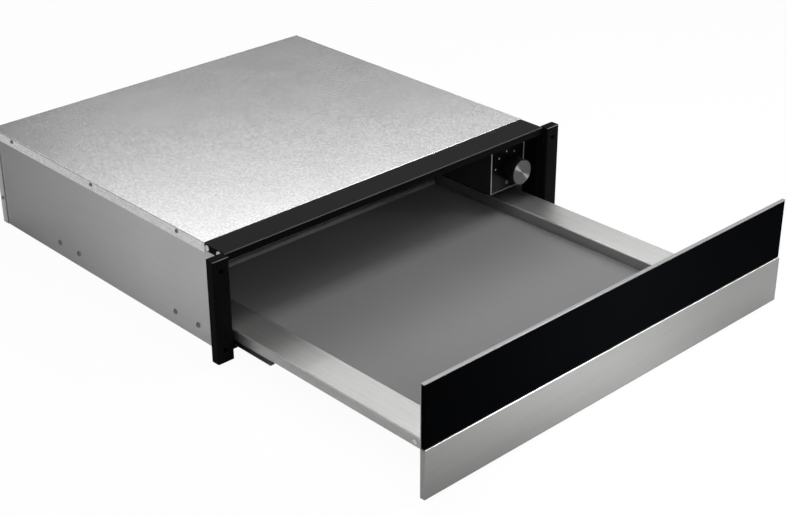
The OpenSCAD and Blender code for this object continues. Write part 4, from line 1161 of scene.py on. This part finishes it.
def makeHeater():
    h = heater
    low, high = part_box("heater_housing")
    shell = openShell(low, high, h["round"], h["sheet"])
    y0, y1 = low.y - 3 * mm, low.y + 3 * mm
    x0, x1 = (x * mm for x in h["outletX"])
    cuts = []
    for n in range(h["outlets"]):
        z = (h["outletFirst"] + n * h["outletStep"]) * mm
        cuts.append(slotCutter((x0, y0, z), (x1, y1, z + h["outletHigh"] * mm), "y"))
        cuts.append(slotCutter((-x1, y0, z), (-x0, y1, z + h["outletHigh"] * mm), "y"))
    fanZ = h["fanZ"] * mm
    cutBy(shell, joined(*cuts), rod((0, y0, fanZ), back, h["intake"], 6 * mm, 64),
          holes([(high.x - 3 * mm, h["tubeY"] * mm, h["tubeZ"] * mm)], right, 1.3 * mm, 6 * mm))
    finished(shell, "heaterHousing", "heater_housing")
    radius = h["guardRadius"]
    profile = [(radius, 0), (radius, 0.7 * mm), (radius - 0.3 * mm, h["sheet"])]
    guard = turned((0, low.y, fanZ), front, profile, 64)
    slots = []
    half = h["guardSlot"] / 2
    for n in range(-h["guardRows"], h["guardRows"] + 1):
        rise = n * h["guardPitch"]
        reach = math.sqrt((h["intake"] / mm) ** 2 - rise ** 2) - half
        z0, z1 = fanZ + (rise - half) * mm, fanZ + (rise + half) * mm
        slots.append(slotCutter((half * mm, y0, z0), (reach * mm, y1, z1), "y"))
        slots.append(slotCutter((-reach * mm, y0, z0), (-half * mm, y1, z1), "y"))
    finished(cutBy(guard, joined(*slots)), "fanGuard", "heater_grille")
    turns = [h["legTurn"], *range(h["legTurn"] + 22, 340 - 21, 10), 360 - h["legTurn"]]
    ring = [Vector((math.sin(math.radians(a)) * h["ringRadius"], h["ringY"],
                    h["fanZ"] - math.cos(math.radians(a)) * h["ringRadius"])) * mm for a in turns]
    ends = [Vector((place.x, high.y, place.z)) for place in (ring[0], ring[-1])]
    profile = [(4.4 * mm, 0), (4.4 * mm, 3 * mm), (3.9 * mm, 4 * mm), (3.4 * mm, 4.2 * mm)]
    collars = [turned(end, front, profile, 20) for end in ends]
    tube = pipe([ends[0], *ring, ends[1]], h["rod"], 7 * mm, 3)
    finished(joined(tube, *collars), "heatingElement", "heating_element")


motor = {
    "plates": 7, "platePitch": 2 * mm, "plate": 1.7 * mm, "firstY": 230, "bearing": 11 * mm,
    "shaftHole": 2.05 * mm, "coil": 6.6 * mm, "coilWound": 5.6 * mm, "notch": 4.2 * mm,
    "rotorHole": 12.5 * mm, "through": 30 * mm,
}


def makeMotor():
    m = motor
    low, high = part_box("fan_motor")
    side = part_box("fan_shaft")
    axis = (side[0] + side[1]) / 2
    wide, firstY = -low.x, m["firstY"] * mm
    plate = newBlock((-wide, firstY, low.z), (wide, firstY + m["plate"], high.z), 0.15 * mm, 1)
    for x in (-wide, wide):  # the stack's corners are cut off for the clamping screws
        for z in (low.z, high.z):
            cutBy(plate, rod((x, firstY - 2 * mm, z), back, m["notch"], 6 * mm, 16))
    cutBy(plate, rod((0, low.y - clear, axis.z), back, m["rotorHole"], m["through"], 40))
    stack = [copied(plate, (0, n * m["platePitch"], 0)) for n in range(1, m["plates"])] + [plate]
    r = m["bearing"]
    ends = [(11 * mm, 0), (12 * mm, 0.6 * mm), (12 * mm, 13 * mm), (11 * mm, 13.6 * mm)]
    rotor = turned((0, firstY, axis.z), back, ends, 40)
    cup = [(r, 0), (r, 1.2 * mm), (7 * mm, 2 * mm), (6 * mm, 4.3 * mm), (5 * mm, 4.5 * mm)]
    bearing = turned((0, low.y + 4.5 * mm, axis.z), front, cup)
    reach, half = wide - 6 * mm, 4 * mm
    strap = newBlock((-reach, low.y + 3 * mm, axis.z - half),
                     (reach, low.y + 4.5 * mm, axis.z + half), 0.4 * mm)
    rear = turned((0, high.y - 2.4 * mm, axis.z), back, [(r, 0), (r, 2 * mm), (8 * mm, 2.4 * mm)])
    parts = [rotor, bearing, strap, rear]
    for part in parts:
        cutBy(part, rod((0, low.y - clear, axis.z), back, m["shaftHole"], m["through"], 24))
    middle = (low.y + high.y) / 2
    r, inner = m["coil"], m["coilWound"]
    profile = [(r, 0), (r, 1 * mm)]
    for n in range(8):  # the wound wire
        profile += [(inner, (1.2 + n * 0.7) * mm), (inner - 0.25 * mm, (1.55 + n * 0.7) * mm)]
    profile += [(r, 7.2 * mm), (r, 8 * mm), (r - 0.4 * mm, 8.2 * mm)]
    coil = turned((wide - 0.2 * mm, middle, axis.z), right, profile, 28)
    finished(joined(coil, *parts, *stack), "fanMotor", "fan_motor")
    low, high = side
    spindle = pin((0, high.y, axis.z), front, (high.x - low.x) / 2, high.y - low.y, 0.4 * mm, 0.4 * mm, 24)
    finished(spindle, "fanSpindle", "fan_shaft")


fan = {"plate": 1.2 * mm, "hub": 7 * mm, "bore": 2 * mm, "blades": 14, "blade": 0.8 * mm, "bladeTurn": 32,
       "tip": 30.6, "root": 6.5, "arc": 24}


def makeImpeller():
    low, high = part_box("fan_impeller")
    axis = (low + high) / 2
    tall, radius = high.y - low.y, (high.x - low.x) / 2
    disc = pin((axis.x, high.y, axis.z), front, radius, fan["plate"], 0.3 * mm, 0.2 * mm, 56)
    r = fan["hub"]
    hub = turned((axis.x, high.y - 0.4 * mm, axis.z), front, [
        (r + 2 * mm, 0), (r + 0.6 * mm, 2 * mm), (r, 4 * mm), (r, tall - 1.2 * mm),
        (r - 0.8 * mm, tall - 0.4 * mm)])
    root = Vector((fan["root"], 0, 0))
    turn = math.radians(fan["bladeTurn"])
    tip = Vector((fan["tip"] * math.cos(turn), 0, fan["tip"] * math.sin(turn)))
    chord = tip - root
    sag = math.sqrt(fan["arc"] ** 2 - (chord.length / 2) ** 2)
    centre = (root + tip) / 2 + Vector((-chord.z, 0, chord.x)).normalized() * sag
    sweep = 2 * math.asin(chord.length / 2 / fan["arc"])
    blade = newPlane()
    edit(blade, "VERT", lambda v: v.co.x > 0)
    bpy.ops.mesh.delete(type="VERT")
    edit(blade, "VERT", lambda v: True)
    bpy.ops.transform.resize(value=(1, tall - 1 * mm, 1))
    bpy.ops.transform.translate(value=(0.5 + root.x * mm, -0.2 * mm, 0))
    edit(blade, "EDGE", lambda e: True)
    spinAbout = Vector((centre.x * mm, 0, centre.z * mm))
    bpy.ops.mesh.spin(steps=7, angle=-sweep, center=spinAbout, axis=(0, 1, 0))
    deselect()
    applied(blade, "SOLIDIFY", thickness=fan["blade"], offset=0)
    step = 2 * math.pi / fan["blades"]
    blades = [copied(blade, axis, Matrix.Rotation(step * n, 4, "Y")) for n in range(fan["blades"])]
    bpy.data.objects.remove(blade)
    for part in (disc, hub):
        cutBy(part, rod((axis.x, low.y - 2 * mm, axis.z), back, fan["bore"], tall + 4 * mm, 24))
    finished(joined(disc, hub, *blades), "fanWheel", "fan_impeller")


def makeCutout():
    low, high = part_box("thermal_cutout")
    middle = (low + high) / 2
    centre = Vector((low.x, middle.y, heater["fanZ"] * mm))
    profile = [(8, 0), (8, 1.1), (6.9, 1.3), (6.7, 4.6), (6.2, 5.6), (5.2, 6)]
    button = turned(centre, right, [(r * mm, h * mm) for r, h in profile], 36)
    tabs = []
    for side in (-4, 4):
        y = centre.y + side * mm
        tab = newBlock((low.x + 5.5 * mm, y - 1 * mm, centre.z),
                       (high.x, y + 1 * mm, centre.z + 1 * mm), 0.15 * mm, 1)
        tabs.append(cutBy(tab, holes([(high.x - 1.8 * mm, y, centre.z - 1 * mm)], up, 0.5 * mm, 3 * mm)))
    finished(joined(button, *tabs), "thermalCutout", "thermal_cutout")


makeHeater()
makeMotor()
makeImpeller()
makeCutout()
print("heater: housing, guard, element, motor, wheel, cut-out")

# ---- rear fittings

block = {"ways": 3, "rib": 1.2 * mm, "well": 3.6 * mm, "wireHole": 3 * mm}


def makeTerminals():
    low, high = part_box("terminal_block")
    piece = newBlock(low, high, 0.7 * mm, 2)
    pitch = (high.x - low.x) / block["ways"]
    xs = [low.x + (n + 0.5) * pitch for n in range(block["ways"])]
    middle = (low.y + high.y) / 2
    cutBy(piece, holes([(x, middle, 10 * mm) for x in xs], up, block["well"], 12 * mm),
          holes([(x, high.y - 7 * mm, 10 * mm) for x in xs], back, block["wireHole"], 12 * mm))
    for n in range(1, block["ways"]):  # grooves between the ways
        x, half = low.x + n * pitch, block["rib"] / 2
        cutBy(piece, newBlock((x - half, low.y - clear, high.z - 3 * mm),
                              (x + half, high.y + clear, high.z + clear), 0))
    finished(piece, "terminalBlock", "terminal_block")
    screws = [newScrew((x, middle, 11 * mm), up, 2.8 * mm, 1.2 * mm, 0.9 * mm) for x in xs]
    finished(joined(*screws), "terminalScrews", "back_screws", stands=False)


gland = {"bore": 4 * mm, "neck": 5.95 * mm, "outerNeck": 6 * mm, "collar": 8.5 * mm, "nut": 4 * mm}


def makeGland():
    g = gland
    low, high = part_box("cable_gland")
    x, z = (low.x + high.x) / 2, (low.z + high.z) / 2
    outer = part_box("back_panel")[1].y
    long = high.y - low.y
    collarAt = outer - low.y
    neck, outside, collar = g["neck"], g["outerNeck"], g["collar"]
    end = collarAt + g["nut"]
    body = turned((x, low.y, z), back, [
        (neck - 0.5 * mm, 0), (neck, 0.5 * mm), (neck, collarAt - 0.02 * mm), (collar, collarAt),
        (collar, end - 0.8 * mm), (collar - 0.8 * mm, end), (outside + 0.2 * mm, end),
        (outside, end + 0.5 * mm), (outside, long - 1 * mm), (outside - 1 * mm, long)], 40)
    cutBy(body, rod((x, low.y - 2 * mm, z), back, g["bore"], long + 4 * mm))
    nutEnd = outer - casing["sheet"]
    nut = pin((x, nutEnd, z), front, collar, g["nut"], 0.5 * mm, 0.5 * mm, 6)
    cutBy(nut, rod((x, nutEnd - 9 * mm, z), back, neck - 0.1 * mm, 14 * mm))
    finished(joined(body, nut), "cableGland", "cable_gland")


latch = {"axisZ": 10 * mm, "bore": 3.6 * mm, "mouth": 5 * mm, "pocketX": (9.5, 15), "pocketZ": (4, 18),
         "fixX": 11.5 * mm, "fixHole": 1.6 * mm, "strikerSheet": 1.2 * mm}


def makeLatch():
    low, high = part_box("latch_housing")
    piece = newBlock(low, high, 1 * mm, 3)
    axis = latch["axisZ"]
    start = (0, low.y - clear, axis)
    cutBy(piece, rod(start, back, latch["bore"], high.y - low.y + 2 * clear, 28),
          rod(start, back, latch["mouth"], 2.2 * mm, 28))
    z0, z1 = (z * mm for z in latch["pocketZ"])
    for side in (-1, 1):
        a, b = sorted(side * x * mm for x in latch["pocketX"])
        cutBy(piece, newBlock((a, low.y + 6 * mm, z0), (b, high.y - 6 * mm, z1), 0.8 * mm, 2))
        fixings = [(side * latch["fixX"], y, 0) for y in (low.y + 12 * mm, high.y - 9 * mm)]
        cutBy(piece, holes(fixings, up, latch["fixHole"], 8 * mm))
    finished(piece, "latchHousing", "latch_housing")
    low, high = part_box("latch_plunger")
    r, long = (high.x - low.x) / 2, high.y - low.y
    profile = [(r * 0.9, 0), (r, 0.4 * mm), (r, long - 1.6 * mm), (r * 0.93, long - 0.8 * mm),
               (r * 0.72, long - 0.2 * mm), (r * 0.45, long)]
    finished(turned((0, high.y, axis), front, profile, 28), "latchPlunger", "latch_plunger")
    low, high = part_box("latch_striker")
    path = [(low.y, high.z), (high.y, high.z), (high.y, low.z)]
    strike = foldedSheet("x", low.x, high.x, path, latch["strikerSheet"], 1.2 * mm)
    finished(strike, "latchStriker", "latch_striker")


makeTerminals()
makeGland()
makeLatch()
print("rear: terminals, gland, latch")

# ---- what carries the front panel

bracket = {"sheet": 1.2 * mm, "bend": 1.2 * mm, "armZ": (24.3, 35.95), "screwX": 234.375,
           "screwZ": (52.25, 94.25), "armScrew": (-551.5, 29.55), "hole": 1.55 * mm}


def makeCarriers():
    b = bracket
    low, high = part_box("panel_bracket_right")
    path = [(high.x, high.y), (high.x, low.y), (low.x, low.y)]
    plate = foldedSheet("z", low.z, high.z, path, b["sheet"], b["bend"])
    z0, z1 = (z * mm for z in b["armZ"])
    notch, inside = low.y + b["sheet"] + b["bend"], high.x - 4 * mm
    armY, armZ = b["armScrew"]
    for p, q in ((low.z - clear, z0), (z1, high.z + clear)):
        cutBy(plate, newBlock((inside, notch, p), (high.x + clear, high.y + clear, q), 0))
    screwed = [(b["screwX"] * mm, low.y - 2 * mm, z * mm) for z in b["screwZ"]]
    cutBy(plate, holes(screwed, back, b["hole"], 6 * mm),
          holes([(inside, armY * mm, armZ * mm)], right, b["hole"], 8 * mm))
    finishedPair(plate, "panelBracket", "panel_bracket")
    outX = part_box("drawer_tray")[1].x
    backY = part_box("panel_bracket_right")[0].y + b["sheet"]
    flat = [(Vector((side * b["screwX"] * mm, backY, z * mm)), back) for side in (-1, 1) for z in b["screwZ"]]
    arm = screwSet(onSides(outX, (armY,), (armZ,)), 3 * mm, 1.6 * mm, 2 * mm)
    finished(joined(arm, screwSet(flat, 2.6 * mm, 0.8 * mm, 1 * mm)), "drawerScrews", "drawer_screws")
    low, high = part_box("panel_buffers")
    thick = high.y - low.y
    r = 5 * mm
    buffer = turned((0, 0, 0), back, [
        (r, 0), (r, thick * 0.55), (r - 0.4 * mm, thick * 0.85), (r - 1 * mm, thick),
        (r - 2.6 * mm, thick), (r - 3 * mm, thick * 0.8)])
    corners = [(x, low.y, z) for x in (low.x + r, high.x - r) for z in (low.z + r, high.z - r)]
    finished(joined(*copies(buffer, corners)), "panelBuffers", "panel_buffers")


makeCarriers()
print("drawer: brackets, screws, buffers")

newFloor()
print("studio: floor")
